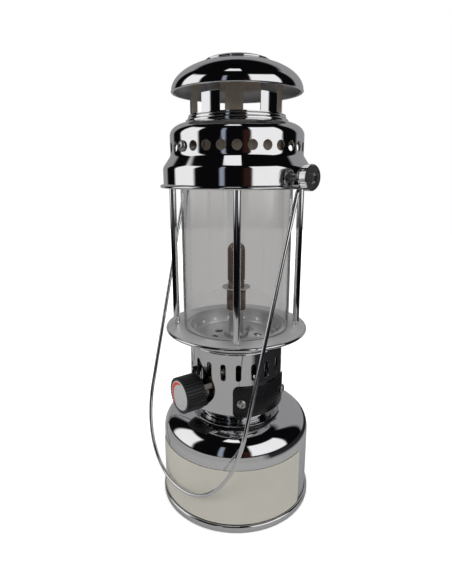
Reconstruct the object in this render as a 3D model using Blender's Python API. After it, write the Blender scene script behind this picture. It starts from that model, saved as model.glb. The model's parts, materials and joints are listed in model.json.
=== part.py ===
"""Gas lantern: tank, regulator valve, burner, globe, frame, hood and wire handle.

Metres, +Z up. The origin is on the lantern's axis, on the plane that it stands on. Azimuths are
counted from -Y, the side with the seam of the burner housing, towards +X.
"""

import math

import bmesh
import bpy
from mathutils import Vector

# Clearances and mesh steps
SEAT_GAP = 0.0003
RUNNING_GAP = 0.00035
HOLLOW_GAP = 0.0007
OVERRUN = 0.002
WELD = 0.000001
SHELL_STEPS = 32
COLLAR_STEPS = 24
ROD_STEPS = 10
SMALL_STEPS = 10
HOLE_STEPS = 8
SHARP_ANGLE = math.radians(32)

# Tank
TANK_RADIUS = 0.0598
TANK_WALL = 0.0009
TANK_STRAIGHT_TOP = 0.0583
SHOULDER_RISE = 0.0205
SHOULDER_INNER_RADIUS = 0.031
SHOULDER_POWER = 2.3
BASE_RIM_WALL = 0.0019
BASE_RIM_HEIGHT = 0.0062
BASE_RIM_ROUND = 0.0016
BASE_SHEET = 0.001
BASE_RING_RADIUS = 0.038
BASE_RING_WIDTH = 0.016
BASE_RING_RISE = 0.0016
BASE_RING_SLOPE = 0.003

# Paper label round the tank
LABEL_THICKNESS = 0.0003
LABEL_LOW_MARGIN = 0.0008
LABEL_HIGH_MARGIN = 0.005
LABEL_CORNER = 0.002
LABEL_START = math.radians(-80)
LABEL_END = math.radians(56)
LABEL_COLUMNS = 24

# Neck collar and its gasket
COLLAR_INSET = 0.0006
COLLAR_STEP = 0.0012
COLLAR_FLANGE = 0.0014
COLLAR_HEIGHT = 0.0044
GASKET_INNER_RADIUS = 0.0102
GASKET_RADIUS = 0.0145
GASKET_THICKNESS = 0.0014

# Burner housing
HOUSING_RADIUS = 0.0369
HOUSING_WALL = 0.0008
HOUSING_HEIGHT = 0.0515
HOUSING_LIP = 0.0061
SLOT_COUNT = 20
SLOT_WIDTH = 0.0042
SLOT_HEIGHT = 0.0134
SLOT_RISE = 0.0361
SLOT_START = math.radians(3)
OPENING_RADIUS = 0.0152
OPENING_RISE = 0.0204
OPENING_AZIMUTH = math.radians(-49.5)
OPENING_SLOT_TURNS = -2

# Bare plate on the housing, and its screws
PLATE_THICKNESS = 0.0008
PLATE_LIFT = 0.0004
PLATE_RISE = 0.0003
PLATE_HEIGHT = 0.0248
PLATE_CORNER = 0.0042
PLATE_CENTRE = math.radians(39.5)
PLATE_HALF_ANGLE = math.radians(43)
PLATE_COLUMNS = 18
PLATE_SCREW_INSET = math.radians(10)
PLATE_SCREW_RISE = 0.0116
PAN_HEAD_RADIUS = 0.0037
PAN_HEAD_HEIGHT = 0.0022
PAN_SOCKET_RADIUS = 0.0012
PAN_SOCKET_DEPTH = 0.0012
SCREW_RADIUS = 0.0017
PLATE_SCREW_LENGTH = 0.006

# Valve
VALVE_STEM_RADIUS = 0.009
VALVE_DIP = 0.006
VALVE_HEX_ACROSS = 0.024
VALVE_HEX_HEIGHT = 0.005
VALVE_BLOCK_RADIUS = 0.0092
VALVE_BLOCK_HEIGHT = 0.0235
VALVE_BRANCH_RADIUS = 0.0072
VALVE_BRANCH_LENGTH = 0.02
VALVE_SEAT_RADIUS = 0.0015
SPINDLE_RADIUS = 0.0022
SPINDLE_TIP = 0.0032
SEAL_WIDTH = 0.0016
SEAL_THICKNESS = 0.0016
GLAND_ACROSS = 0.0128
GLAND_HEIGHT = 0.0046

# Regulator knob, on the azimuth of the valve's branch
KNOB_AZIMUTH = math.radians(-53.5)
KNOB_RISE = 0.0151
KNOB_RADIUS = 0.0141
KNOB_LENGTH = 0.0161
KNOB_STAND_OFF = 0.0009
KNOB_RIB_COUNT = 36
KNOB_RIB_DEPTH = 0.0007
KNOB_EDGE = 0.0008
KNOB_HUB_RADIUS = 0.0068
KNOB_HUB_GAP = 0.0034
KNOB_BORE_DEPTH = 0.009
CAP_RADIUS = 0.01165
CAP_THICKNESS = 0.0014
CAP_CROWN = 0.0005
RIB_LAND_SHARES = (0.0, 0.55, 0.78)

# Jet and burner
JET_ACROSS = 0.009
JET_HEX_HEIGHT = 0.0035
JET_TIP_RADIUS = 0.0028
JET_TIP_LENGTH = 0.0055
JET_BORE_RADIUS = 0.0006
TUBE_RADIUS = 0.0058
TUBE_WALL = 0.0009
TUBE_ENTRY = 0.0035
TUBE_TOP_RISE = 0.0296
AIR_HOLE_RADIUS = 0.0021
AIR_HOLE_RISE = 0.0042
TUBE_NUT_ACROSS = 0.0166
TUBE_NUT_HEIGHT = 0.003
LOCK_NUT_HEIGHT = 0.0026
HEAD_RADIUS = 0.0075
HEAD_OVERLAP = 0.0065
HEAD_HEIGHT = 0.0145
HEAD_NECK_RADIUS = 0.0063
HEAD_NECK_HEIGHT = 0.0078
HEAD_SPIGOT_RADIUS = 0.0049
HEAD_SPIGOT_HEIGHT = 0.004
HEAD_BORE_RADIUS = 0.0036
WASHER_RADIUS = 0.0111
WASHER_THICKNESS = 0.0008
WASHER_RISE = 0.0028
GAUZE_RADIUS = 0.0068
GAUZE_WALL = 0.0006
GAUZE_HEIGHT = 0.0306
GAUZE_CROWN = 0.0062
GAUZE_TIP_RADIUS = 0.0013
GAUZE_TIP_HEIGHT = 0.0026
GAUZE_FOOT = 0.0012

# Gallery: plate and cup in one pressing
GALLERY_MARGIN = 0.008
GALLERY_SHEET = 0.0008
GALLERY_ROLL = 0.0014
CUP_CLEARANCE = 0.0003
CUP_DEPTH = 0.0106
CUP_ROUND = 0.0016
GLOBE_LIP_RISE = 0.0014
GLOBE_LIP_WIDTH = 0.0014
CUP_HOLE_COUNT = 18
CUP_HOLE_RADIUS = 0.0015
CUP_HOLE_RISE = 0.0036
CUP_HOLE_START = math.radians(10)
FLOOR_HOLE_CIRCLE = 0.018
FLOOR_HOLE_RADIUS = 0.0035
FLOOR_HOLE_PLACES = 8
FLOOR_HOLE_START = math.radians(8)
GALLERY_SCREW_PLACES = (3, 7)
GALLERY_SCREW_LENGTH = 0.0042
BRIDGE_END_GAP = 0.0024
BRIDGE_WIDTH = 0.0135
BRIDGE_SHEET = 0.0015

# Globe and frame
GLOBE_LIP_GAP = 0.0012
GLOBE_WALL = 0.0018
GLOBE_STAND = 0.0047
ROD_COUNT = 4
ROD_START = math.radians(0.5)
ROD_GLOBE_GAP = 0.0036
ROD_RADIUS = 0.0025
ROD_LENGTH = 0.108
ROD_SPIGOT_RADIUS = 0.0017
ROD_SPIGOT_SPARE = 0.0008
ROD_NUT_ACROSS = 0.0064
ROD_NUT_HEIGHT = 0.003
RING_GLOBE_GAP = 0.001
RING_MARGIN = 0.0048
RING_SHEET = 0.0008
RING_UPSTAND = 0.012

# Handle, its studs and thumb nuts
HANDLE_AZIMUTH = math.radians(45)
STUD_RISE = 0.0052
STUD_RADIUS = 0.0025
STUD_HEAD_RADIUS = 0.0037
STUD_HEAD_HEIGHT = 0.0014
STUD_SHOW = 0.0003
WIRE_RADIUS = 0.00145
HANDLE_SIDE_GAP = 0.00085
HANDLE_ARC_HALF_WIDTH = 0.0546
HANDLE_LEG = 0.174
HANDLE_ARC_HEIGHT = 0.0695
HANDLE_ARC_POWER = 2.1
HANDLE_REST_GAP = 0.00055
HANDLE_ARC_STEPS = 22
HANDLE_LEG_STEPS = 3
EYE_NECK = 0.0105
EYE_START = math.radians(-242)
EYE_END = math.radians(118)
EYE_PITCH = 0.0031
EYE_STEPS = 13
NUT_RADIUS = 0.0084
NUT_THICKNESS = 0.0051
NUT_EDGE = 0.0007
NUT_RIB_COUNT = 24
NUT_RIB_DEPTH = 0.0003
NUT_RECESS_RADIUS = 0.0039
NUT_RECESS_DEPTH = 0.0017
NUT_LAND_SHARES = (0.0, 0.5)

# Hood
HOOD_SHEET = 0.0008
HOOD_FIT = 0.0004
HOOD_DROP = 0.0023
HOOD_BEAD_WIDTH = 0.0025
HOOD_BEAD_HEIGHT = 0.0021
HOOD_BAND_TOP = 0.014
HOOD_STEP_RISE = 0.0081
HOOD_STEP_WIDTH = 0.0055
HOOD_UPPER_RISE = 0.0136
HOOD_CROWN_SHARE = 0.57
HOOD_CROWN_RISE = 0.0089
HOOD_CROWN_END = math.radians(70)
HOOD_CONE_RISE = 0.0054
HOOD_CONE_STEP = 0.0009
HOOD_HOLE_COUNT = 30
HOOD_HOLE_RADIUS = 0.00335
HOOD_HOLE_RISE = 0.0056
HOOD_HOLE_START = math.radians(-48)
HOOD_STEPS = HOOD_HOLE_COUNT
STUD_SLOT_GAP = 0.0004

# Flue inside the hood, held by two screws with spacers
FLUE_GAP = 0.0009
FLUE_WALL = 0.0007
FLUE_BELOW_HOLES = 0.0229
FLUE_ABOVE_HOLES = 0.0205
FLUE_SCREW_COUNT = 2
FLUE_SCREW_SPARE = 0.001
SPACER_RADIUS = 0.0034
FLUE_NUT_ACROSS = 0.0064
FLUE_NUT_HEIGHT = 0.0026

# Chimney collar with windows, dome and cap
CHIMNEY_RADIUS = 0.0335
CHIMNEY_WALL = 0.0008
CHIMNEY_LAP = 0.0022
WINDOW_COUNT = 5
WINDOW_START = math.radians(4)
WINDOW_ANGLE = math.radians(47)
WINDOW_RISE = 0.0004
WINDOW_HEIGHT = 0.0211
WINDOW_CORNER = 0.0022
DOME_OVERHANG = 0.0136
DOME_EAVE_RISE = 0.0155
DOME_RISE = 0.0215
DOME_POWER = 2.05
DOME_SHEET = 0.0008
DOME_ROLL = 0.0006
DOME_STEPS = 6
DOME_HEAD_ROOM = 0.0006
DOME_CAP_SHARE = 0.497
DOME_CAP_RISE = 0.0026
DOME_CAP_SHEET = 0.0007

# Heights that follow from the stack of pieces
TANK_TOP = TANK_STRAIGHT_TOP + SHOULDER_RISE
COLLAR_BOTTOM = TANK_TOP + SEAT_GAP
HOUSING_BOTTOM = COLLAR_BOTTOM + COLLAR_HEIGHT + SEAT_GAP
HOUSING_TOP = HOUSING_BOTTOM + HOUSING_HEIGHT
CUP_FLOOR_BOTTOM = HOUSING_TOP + SEAT_GAP
CUP_FLOOR = CUP_FLOOR_BOTTOM + GALLERY_SHEET
GALLERY_TOP = CUP_FLOOR + CUP_DEPTH
KNOB_AXIS = HOUSING_BOTTOM + KNOB_RISE
VALVE_HEX_BOTTOM = HOUSING_BOTTOM + HOUSING_WALL + SEAT_GAP
VALVE_TOP = VALVE_HEX_BOTTOM + VALVE_BLOCK_HEIGHT
ROD_BOTTOM = GALLERY_TOP + SEAT_GAP
ROD_TOP = ROD_BOTTOM + ROD_LENGTH
RING_BOTTOM = ROD_TOP + SEAT_GAP
RING_TOP = RING_BOTTOM + RING_SHEET
PIVOT_HEIGHT = RING_BOTTOM + STUD_RISE
HOOD_BOTTOM = RING_BOTTOM - HOOD_DROP
HOOD_STEP_BOTTOM = HOOD_BOTTOM + HOOD_BAND_TOP
HOOD_UPPER_BOTTOM = HOOD_STEP_BOTTOM + HOOD_STEP_RISE
HOOD_HOLE_HEIGHT = HOOD_UPPER_BOTTOM + HOOD_HOLE_RISE
HOOD_CROWN_BOTTOM = HOOD_UPPER_BOTTOM + HOOD_UPPER_RISE
HOOD_CONE_BOTTOM = HOOD_CROWN_BOTTOM + HOOD_CROWN_RISE * math.sin(HOOD_CROWN_END)
HOOD_TOP = HOOD_CONE_BOTTOM + HOOD_CONE_RISE
CHIMNEY_BOTTOM = HOOD_TOP - CHIMNEY_LAP
DOME_EAVE = HOOD_TOP + DOME_EAVE_RISE

# Radii that follow from what a piece fits on or in
BASE_RIM_RADIUS = TANK_RADIUS + SEAT_GAP + BASE_RIM_WALL
LABEL_RADIUS = TANK_RADIUS + SEAT_GAP
COLLAR_RADIUS = SHOULDER_INNER_RADIUS - COLLAR_INSET
CUP_OUTER_RADIUS = HOUSING_RADIUS + CUP_CLEARANCE
CUP_INNER_RADIUS = CUP_OUTER_RADIUS - GALLERY_SHEET
GLOBE_INNER_RADIUS = CUP_INNER_RADIUS + GLOBE_LIP_WIDTH + GALLERY_SHEET + GLOBE_LIP_GAP
GLOBE_RADIUS = GLOBE_INNER_RADIUS + GLOBE_WALL
ROD_CIRCLE = GLOBE_RADIUS + ROD_GLOBE_GAP + ROD_RADIUS
GALLERY_RADIUS = ROD_CIRCLE + GALLERY_MARGIN
RING_INNER_RADIUS = GLOBE_RADIUS + RING_GLOBE_GAP
RING_RADIUS = ROD_CIRCLE + RING_MARGIN
HOOD_BAND_RADIUS = RING_RADIUS + HOOD_FIT + HOOD_SHEET
HOOD_BEAD_RADIUS = HOOD_BAND_RADIUS + HOOD_BEAD_WIDTH
HOOD_UPPER_RADIUS = HOOD_BAND_RADIUS - HOOD_STEP_WIDTH
FLUE_RADIUS = CHIMNEY_RADIUS - CHIMNEY_WALL - FLUE_GAP
DOME_RADIUS = CHIMNEY_RADIUS + DOME_OVERHANG
DOME_CAP_RADIUS = DOME_RADIUS * DOME_CAP_SHARE
STEM_HOLE_RADIUS = VALVE_STEM_RADIUS + SEAT_GAP
TUBE_HOLE_RADIUS = TUBE_RADIUS + SEAT_GAP
SCREW_HOLE_RADIUS = SCREW_RADIUS + SEAT_GAP
SPINDLE_HOLE_RADIUS = SPINDLE_RADIUS + RUNNING_GAP
HOOD_NECK_RADIUS = CHIMNEY_RADIUS + SEAT_GAP + HOOD_SHEET
HOOD_CROWN_WIDTH = (HOOD_UPPER_RADIUS - HOOD_NECK_RADIUS) * HOOD_CROWN_SHARE / (1 - math.cos(HOOD_CROWN_END))
KNOB_BACK = HOUSING_RADIUS + KNOB_STAND_OFF
HANDLE_HALF_WIDTH = HOOD_BEAD_RADIUS + HANDLE_SIDE_GAP + WIRE_RADIUS
EYE_SPREAD = EYE_PITCH * (EYE_END - EYE_START) / math.tau
NUT_BOTTOM = HANDLE_HALF_WIDTH + EYE_SPREAD + WIRE_RADIUS + RUNNING_GAP
HANDLE_TILT = math.asin(
    (LABEL_RADIUS + LABEL_THICKNESS + HANDLE_REST_GAP + WIRE_RADIUS) / (HANDLE_LEG + HANDLE_ARC_HEIGHT)
)

# Finishes: colour, roughness, metallic
CHROME = ("chrome", (0.78, 0.78, 0.79), 0.06, 1.0)
STEEL = ("bare_steel", (0.45, 0.42, 0.39), 0.42, 1.0)
ZINC = ("zinc_plate", (0.62, 0.62, 0.6), 0.3, 1.0)
BRASS = ("brass", (0.6, 0.42, 0.2), 0.3, 1.0)
BURNER_METAL = ("burner_metal", (0.3, 0.22, 0.17), 0.45, 1.0)
KNOB_PLASTIC = ("knob_plastic", (0.015, 0.015, 0.018), 0.4, 0.0)
CAP_PLASTIC = ("cap_plastic", (0.62, 0.63, 0.64), 0.35, 0.0)
BLACK_ENAMEL = ("black_enamel", (0.012, 0.012, 0.014), 0.3, 0.0)
PAPER = ("label_paper", (0.62, 0.6, 0.53), 0.7, 0.0)
GLASS = ("clear_glass", (0.9, 0.92, 0.92), 0.03, 0.0)
RUBBER = ("seal_rubber", (0.02, 0.02, 0.02), 0.7, 0.0)


def clear_scene():
    """Remove what the scene holds."""
    for scene_object in list(bpy.data.objects):
        bpy.data.objects.remove(scene_object, do_unlink=True)


def finish_material(finish):
    """The material of a finish, made once."""
    name, colour, roughness, metallic = finish
    material = bpy.data.materials.get(name)
    if material is None:
        material = bpy.data.materials.new(name)
        material.use_nodes = True
        shader = material.node_tree.nodes["Principled BSDF"]
        shader.inputs["Base Color"].default_value = (*colour, 1.0)
        shader.inputs["Roughness"].default_value = roughness
        shader.inputs["Metallic"].default_value = metallic
    return material


def place(name, bm, finish=None, location=(0, 0, 0), azimuth=None, parent=None):
    """Make an object of a mesh. With an azimuth, the mesh's +Z points outwards along it."""
    bmesh.ops.recalc_face_normals(bm, faces=bm.faces)
    mesh = bpy.data.meshes.new(name)
    bm.to_mesh(mesh)
    bm.free()
    piece = bpy.data.objects.new(name, mesh)
    bpy.context.scene.collection.objects.link(piece)
    piece.location = location
    if azimuth is not None:
        piece.rotation_euler = (math.radians(90), 0, azimuth)
    if parent is not None:
        piece.parent = parent
    if finish is None:
        piece.hide_render = True
        piece.display_type = "WIRE"
    else:
        mesh.materials.append(finish_material(finish))
        mesh.shade_smooth()
        mesh.set_sharp_from_angle(angle=SHARP_ANGLE)
    return piece


def boolean(piece, tool, operation="DIFFERENCE"):
    """Cut a piece with a guide solid, or join the solid to it."""
    modifier = piece.modifiers.new(operation.lower() + "_" + tool.name, "BOOLEAN")
    modifier.operation = operation
    modifier.object = tool


def along(azimuth, radius, height=0.0):
    """A point at an azimuth and a distance from the lantern's axis."""
    return Vector((radius * math.sin(azimuth), -radius * math.cos(azimuth), height))


def turned(outline, steps, start=0.0):
    """A solid turned about Z from its half section: a closed loop, or a chain from axis to axis."""
    bm = bmesh.new()
    along_x, along_y = math.cos(start), math.sin(start)
    corners = [bm.verts.new((radius * along_x, radius * along_y, height)) for radius, height in outline]
    edges = [bm.edges.new(pair) for pair in zip(corners, corners[1:])]
    if outline[0][0] > 0 or outline[-1][0] > 0:
        edges.append(bm.edges.new((corners[-1], corners[0])))
    bmesh.ops.spin(
        bm, geom=corners + edges, cent=(0, 0, 0), axis=(0, 0, 1),
        angle=math.tau, steps=steps, use_merge=True,
    )
    bmesh.ops.remove_doubles(bm, verts=bm.verts, dist=WELD)
    return bm


def prism(outline, bottom, top, bm=None):
    """A flat outline in X and Y raised from one height to another, added to a mesh if one is given."""
    bm = bm or bmesh.new()
    low = bm.faces.new([bm.verts.new((x, y, bottom)) for x, y in outline])
    raised = bmesh.ops.extrude_face_region(bm, geom=[low])
    moved = [item for item in raised["geom"] if isinstance(item, bmesh.types.BMVert)]
    bmesh.ops.translate(bm, verts=moved, vec=(0, 0, top - bottom))
    return bm


def circle(radius, steps, centre=(0.0, 0.0)):
    """A round outline."""
    turns = [math.tau * step / steps for step in range(steps)]
    return [(centre[0] + radius * math.cos(turn), centre[1] + radius * math.sin(turn)) for turn in turns]


def polygon(across, sides):
    """A regular outline of a given size across its flats."""
    corner = across / 2 / math.cos(math.pi / sides)
    return circle(corner, sides)


def slot_outline(width, height, steps):
    """An upright slot with half-round ends, centred on zero."""
    points = []
    for end in (1, -1):
        for step in range(steps + 1):
            turn = math.pi * step / steps
            points.append((
                end * width / 2 * math.cos(turn),
                end * (height / 2 - width / 2) + end * width / 2 * math.sin(turn),
            ))
    return points


def rounded_rectangle(width, height, corner, steps):
    """A rectangle with rounded corners, centred on zero."""
    points = []
    for quarter in range(4):
        x_sign = 1 if quarter in (0, 3) else -1
        y_sign = 1 if quarter in (0, 1) else -1
        for step in range(steps + 1):
            turn = math.radians(90) * (quarter + step / steps)
            points.append((
                x_sign * (width / 2 - corner) + corner * math.cos(turn),
                y_sign * (height / 2 - corner) + corner * math.sin(turn),
            ))
    return points


def ribbed(radius, depth, count, land_shares):
    """A round outline with ribs: the shares of a rib's pitch where it rises and falls."""
    points = []
    for rib in range(count):
        for index, share in enumerate(land_shares):
            turn = math.tau * (rib + share) / count
            low = index >= len(land_shares) / 2
            reach = radius - depth if low else radius
            points.append((reach * math.cos(turn), reach * math.sin(turn)))
    return points


def arc(centre_radius, centre_height, width, rise, start, end, steps, power=2.0):
    """Points of an elliptic or fuller curve in a half section, angles from the +radius side."""
    points = []
    for step in range(steps + 1):
        turn = start + (end - start) * step / steps
        across = math.copysign(abs(math.cos(turn)) ** (2 / power), math.cos(turn))
        up = math.copysign(abs(math.sin(turn)) ** (2 / power), math.sin(turn))
        points.append((centre_radius + width * across, centre_height + rise * up))
    return points


def sloped(start, end, steps):
    """An S-shaped step in a half section, between two points."""
    points = []
    for step in range(steps + 1):
        share = step / steps
        ease = (1 - math.cos(math.pi * share)) / 2
        points.append((
            start[0] + (end[0] - start[0]) * ease,
            start[1] + (end[1] - start[1]) * share,
        ))
    return points


def bent_plate(inner_radius, thickness, bottom, top, start, end, corner, columns):
    """A plate bent round the axis, with rounded corners: one column of four points per step."""
    bm = bmesh.new()
    outer_radius = inner_radius + thickness
    length = (end - start) * outer_radius
    rows = []
    for column in range(columns + 1):
        share = (1 - math.cos(math.pi * column / columns)) / 2
        azimuth = start + (end - start) * share
        edge = min(share, 1 - share) * length
        inset = 0.0
        if edge < corner:
            inset = corner - math.sqrt(max(corner ** 2 - (corner - edge) ** 2, 0.0))
            inset = min(inset, corner * math.cos(math.pi / columns))
        places = (
            (inner_radius, bottom + inset), (outer_radius, bottom + inset),
            (outer_radius, top - inset), (inner_radius, top - inset),
        )
        rows.append([bm.verts.new(along(azimuth, radius, height)) for radius, height in places])
    bm.faces.new(rows[0])
    bm.faces.new(rows[-1])
    for here, there in zip(rows, rows[1:]):
        for side in range(4):
            other = (side + 1) % 4
            bm.faces.new((here[side], here[other], there[other], there[side]))
    return bm


def nut(across, height, hole_radius, steps=SMALL_STEPS):
    """A hexagonal nut from zero up: its bore is cut by a turned guide."""
    bm = bmesh.new()
    outer = polygon(across, 6)
    inner = circle(hole_radius, steps)
    rings = []
    for level in (0.0, height):
        rings.append((
            [bm.verts.new((x, y, level)) for x, y in outer],
            [bm.verts.new((x, y, level)) for x, y in inner],
        ))
    for level in rings:
        edges = [
            bm.edges.new((ring[i], ring[(i + 1) % len(ring)])) for ring in level for i in range(len(ring))
        ]
        bmesh.ops.triangle_fill(bm, use_beauty=True, use_dissolve=False, edges=edges)
    for low, high in zip(rings[0], rings[1]):
        for i in range(len(low)):
            j = (i + 1) % len(low)
            bm.faces.new((low[i], low[j], high[j], high[i]))
    return bm


def pan_screw(name, length, location, azimuth=None):
    """A pan-head screw with a socket: the head stands on zero, the shank runs down."""
    head = arc(0.0, 0.0, PAN_HEAD_RADIUS, PAN_HEAD_HEIGHT, 0.0, math.radians(62), 2, power=2.6)
    outline = [(0.0, -length), (SCREW_RADIUS, -length), (SCREW_RADIUS, 0.0)]
    outline += head
    outline += [
        (PAN_SOCKET_RADIUS, PAN_HEAD_HEIGHT),
        (PAN_SOCKET_RADIUS, PAN_HEAD_HEIGHT - PAN_SOCKET_DEPTH),
        (0.0, PAN_HEAD_HEIGHT - PAN_SOCKET_DEPTH),
    ]
    return place(name, turned(outline, HOLE_STEPS), ZINC, location, azimuth)


def shoulder(outer_radius, inner_radius, bottom, rise, steps):
    """The tank's full shoulder curve, from its wall in to the flat top."""
    return arc(
        inner_radius, bottom, outer_radius - inner_radius, rise,
        0.0, math.radians(90), steps, power=SHOULDER_POWER,
    )


def make_tank():
    """Bottom pan with its rolled rim, pressed shell and paper label."""
    rim_inner = LABEL_RADIUS
    ring_inner = BASE_RING_RADIUS - BASE_RING_WIDTH / 2
    ring_outer = BASE_RING_RADIUS + BASE_RING_WIDTH / 2
    rim_shoulder = BASE_RIM_RADIUS - BASE_RIM_ROUND
    pan = [(0.0, 0.0), (ring_inner, 0.0), (ring_inner + BASE_RING_SLOPE, BASE_RING_RISE)]
    pan += [(ring_outer - BASE_RING_SLOPE, BASE_RING_RISE), (ring_outer, 0.0)]
    pan += arc(rim_shoulder, BASE_RIM_ROUND, BASE_RIM_ROUND, BASE_RIM_ROUND, math.radians(-90), 0.0, 2)
    pan += arc(
        rim_shoulder, BASE_RIM_HEIGHT - BASE_RIM_ROUND, BASE_RIM_ROUND, BASE_RIM_ROUND,
        0.0, math.radians(90), 2,
    )
    pan += [(rim_inner, BASE_RIM_HEIGHT), (rim_inner, BASE_SHEET), (ring_outer, BASE_SHEET)]
    pan += [(ring_outer - BASE_RING_SLOPE, BASE_RING_RISE + BASE_SHEET)]
    pan += [(ring_inner + BASE_RING_SLOPE, BASE_RING_RISE + BASE_SHEET)]
    pan += [(ring_inner, BASE_SHEET), (0.0, BASE_SHEET)]
    place("tank_base", turned(pan, SHELL_STEPS), CHROME)

    bottom = BASE_SHEET + SEAT_GAP
    inner_wall = TANK_RADIUS - TANK_WALL
    shell = [(inner_wall, bottom), (TANK_RADIUS, bottom)]
    shell += shoulder(TANK_RADIUS, SHOULDER_INNER_RADIUS, TANK_STRAIGHT_TOP, SHOULDER_RISE, 7)
    shell += [(STEM_HOLE_RADIUS, TANK_TOP), (STEM_HOLE_RADIUS, TANK_TOP - TANK_WALL)]
    inside = shoulder(inner_wall, SHOULDER_INNER_RADIUS, TANK_STRAIGHT_TOP, SHOULDER_RISE - TANK_WALL, 3)
    shell += inside[::-1]
    place("tank_shell", turned(shell, SHELL_STEPS), CHROME)

    label = bent_plate(
        LABEL_RADIUS, LABEL_THICKNESS,
        BASE_RIM_HEIGHT + LABEL_LOW_MARGIN, TANK_STRAIGHT_TOP - LABEL_HIGH_MARGIN,
        LABEL_START, LABEL_END, LABEL_CORNER, LABEL_COLUMNS,
    )
    place("tank_label", label, PAPER)


def make_neck():
    """Collar between tank and housing, and the gasket in its underside."""
    pocket_top = GASKET_THICKNESS
    pocket_radius = GASKET_RADIUS + SEAT_GAP
    waist = COLLAR_RADIUS - COLLAR_STEP
    collar = [
        (STEM_HOLE_RADIUS, pocket_top + SEAT_GAP), (pocket_radius, pocket_top + SEAT_GAP),
        (pocket_radius, 0.0),
        (COLLAR_RADIUS, 0.0), (COLLAR_RADIUS, COLLAR_FLANGE), (waist, COLLAR_FLANGE + COLLAR_STEP / 2),
        (waist, COLLAR_HEIGHT), (STEM_HOLE_RADIUS, COLLAR_HEIGHT),
    ]
    place("neck_collar", turned(collar, COLLAR_STEPS), CHROME, (0, 0, COLLAR_BOTTOM))
    gasket = [
        (GASKET_INNER_RADIUS, 0.0), (GASKET_RADIUS, 0.0),
        (GASKET_RADIUS, GASKET_THICKNESS), (GASKET_INNER_RADIUS, GASKET_THICKNESS),
    ]
    place("neck_gasket", turned(gasket, ROD_STEPS), RUBBER, (0, 0, COLLAR_BOTTOM))


def make_housing():
    """Slotted burner housing with the opening for the knob, and the bare plate with its screws."""
    inner = HOUSING_RADIUS - HOUSING_WALL
    lip = inner - HOUSING_LIP
    outline = [
        (STEM_HOLE_RADIUS, 0.0), (HOUSING_RADIUS - HOUSING_WALL, 0.0), (HOUSING_RADIUS, HOUSING_WALL),
        (HOUSING_RADIUS, HOUSING_HEIGHT - HOUSING_WALL), (HOUSING_RADIUS - HOUSING_WALL, HOUSING_HEIGHT),
        (lip, HOUSING_HEIGHT), (lip, HOUSING_HEIGHT - HOUSING_WALL), (inner, HOUSING_HEIGHT - HOUSING_WALL),
        (inner, HOUSING_WALL), (STEM_HOLE_RADIUS, HOUSING_WALL),
    ]
    facets = 2 * SLOT_COUNT
    drum = turned(outline, facets, SLOT_START + math.pi / facets)
    housing = place("burner_housing", drum, CHROME, (0, 0, HOUSING_BOTTOM))

    cut_inside = inner - OVERRUN
    cut_outside = HOUSING_RADIUS + OVERRUN
    slot = slot_outline(SLOT_WIDTH, SLOT_HEIGHT, 3)
    for number in range(SLOT_COUNT):
        azimuth = SLOT_START + math.tau * number / SLOT_COUNT
        cutter = place(
            f"cut_slot_{number}", prism(slot, cut_inside, cut_outside),
            location=(0, 0, HOUSING_BOTTOM + SLOT_RISE), azimuth=azimuth,
        )
        boolean(housing, cutter)

    opening = place(
        "cut_opening", prism(circle(OPENING_RADIUS, 24), cut_inside - OPENING_RADIUS / 2, cut_outside),
        location=(0, 0, HOUSING_BOTTOM + OPENING_RISE), azimuth=OPENING_AZIMUTH,
    )
    boolean(housing, opening)
    boolean(housing, place_opening_flare(cut_inside, cut_outside))

    plate_inner = HOUSING_RADIUS + PLATE_LIFT
    plate_bottom = HOUSING_BOTTOM + PLATE_RISE
    plate = place("nameplate", bent_plate(
        plate_inner, PLATE_THICKNESS, plate_bottom, plate_bottom + PLATE_HEIGHT,
        PLATE_CENTRE - PLATE_HALF_ANGLE, PLATE_CENTRE + PLATE_HALF_ANGLE, PLATE_CORNER, PLATE_COLUMNS,
    ), BLACK_ENAMEL)
    head_seat = plate_inner + PLATE_THICKNESS + SEAT_GAP
    for number, side in enumerate((-1, 1)):
        azimuth = PLATE_CENTRE + side * (PLATE_HALF_ANGLE - PLATE_SCREW_INSET)
        height = plate_bottom + PLATE_SCREW_RISE
        cutter = place(
            f"cut_plate_screw_{number}",
            prism(circle(SCREW_HOLE_RADIUS, SMALL_STEPS), cut_inside, cut_outside + OVERRUN),
            location=(0, 0, height), azimuth=azimuth,
        )
        boolean(housing, cutter)
        boolean(plate, cutter)
        seat = along(azimuth, head_seat, height)
        pan_screw(f"nameplate_screw_{number + 1}", PLATE_SCREW_LENGTH, seat, azimuth)


def place_opening_flare(cut_inside, cut_outside):
    """Guide solid that runs the slot beside the knob's opening into it on its right-hand side."""
    slot_azimuth = SLOT_START + math.tau * (OPENING_SLOT_TURNS - 1) / SLOT_COUNT
    slot_side = (slot_azimuth - OPENING_AZIMUTH) * HOUSING_RADIUS
    slot_end = SLOT_RISE - OPENING_RISE + SLOT_HEIGHT / 2 - SLOT_WIDTH / 2
    outline = [
        (slot_side + SLOT_WIDTH / 2 * math.cos(turn), slot_end + SLOT_WIDTH / 2 * math.sin(turn))
        for turn in (math.radians(angle) for angle in (150, 120, 90, 60, 30))
    ]
    outline += [
        (OPENING_RADIUS * math.cos(turn), OPENING_RADIUS * math.sin(turn))
        for turn in (math.radians(angle) for angle in (8, -12))
    ]
    outline.append((slot_side / 2, 0.0))
    return place(
        "cut_opening_flare", prism(outline[::-1], cut_inside - OPENING_RADIUS / 2, cut_outside),
        location=(0, 0, HOUSING_BOTTOM + OPENING_RISE), azimuth=OPENING_AZIMUTH,
    )


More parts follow.
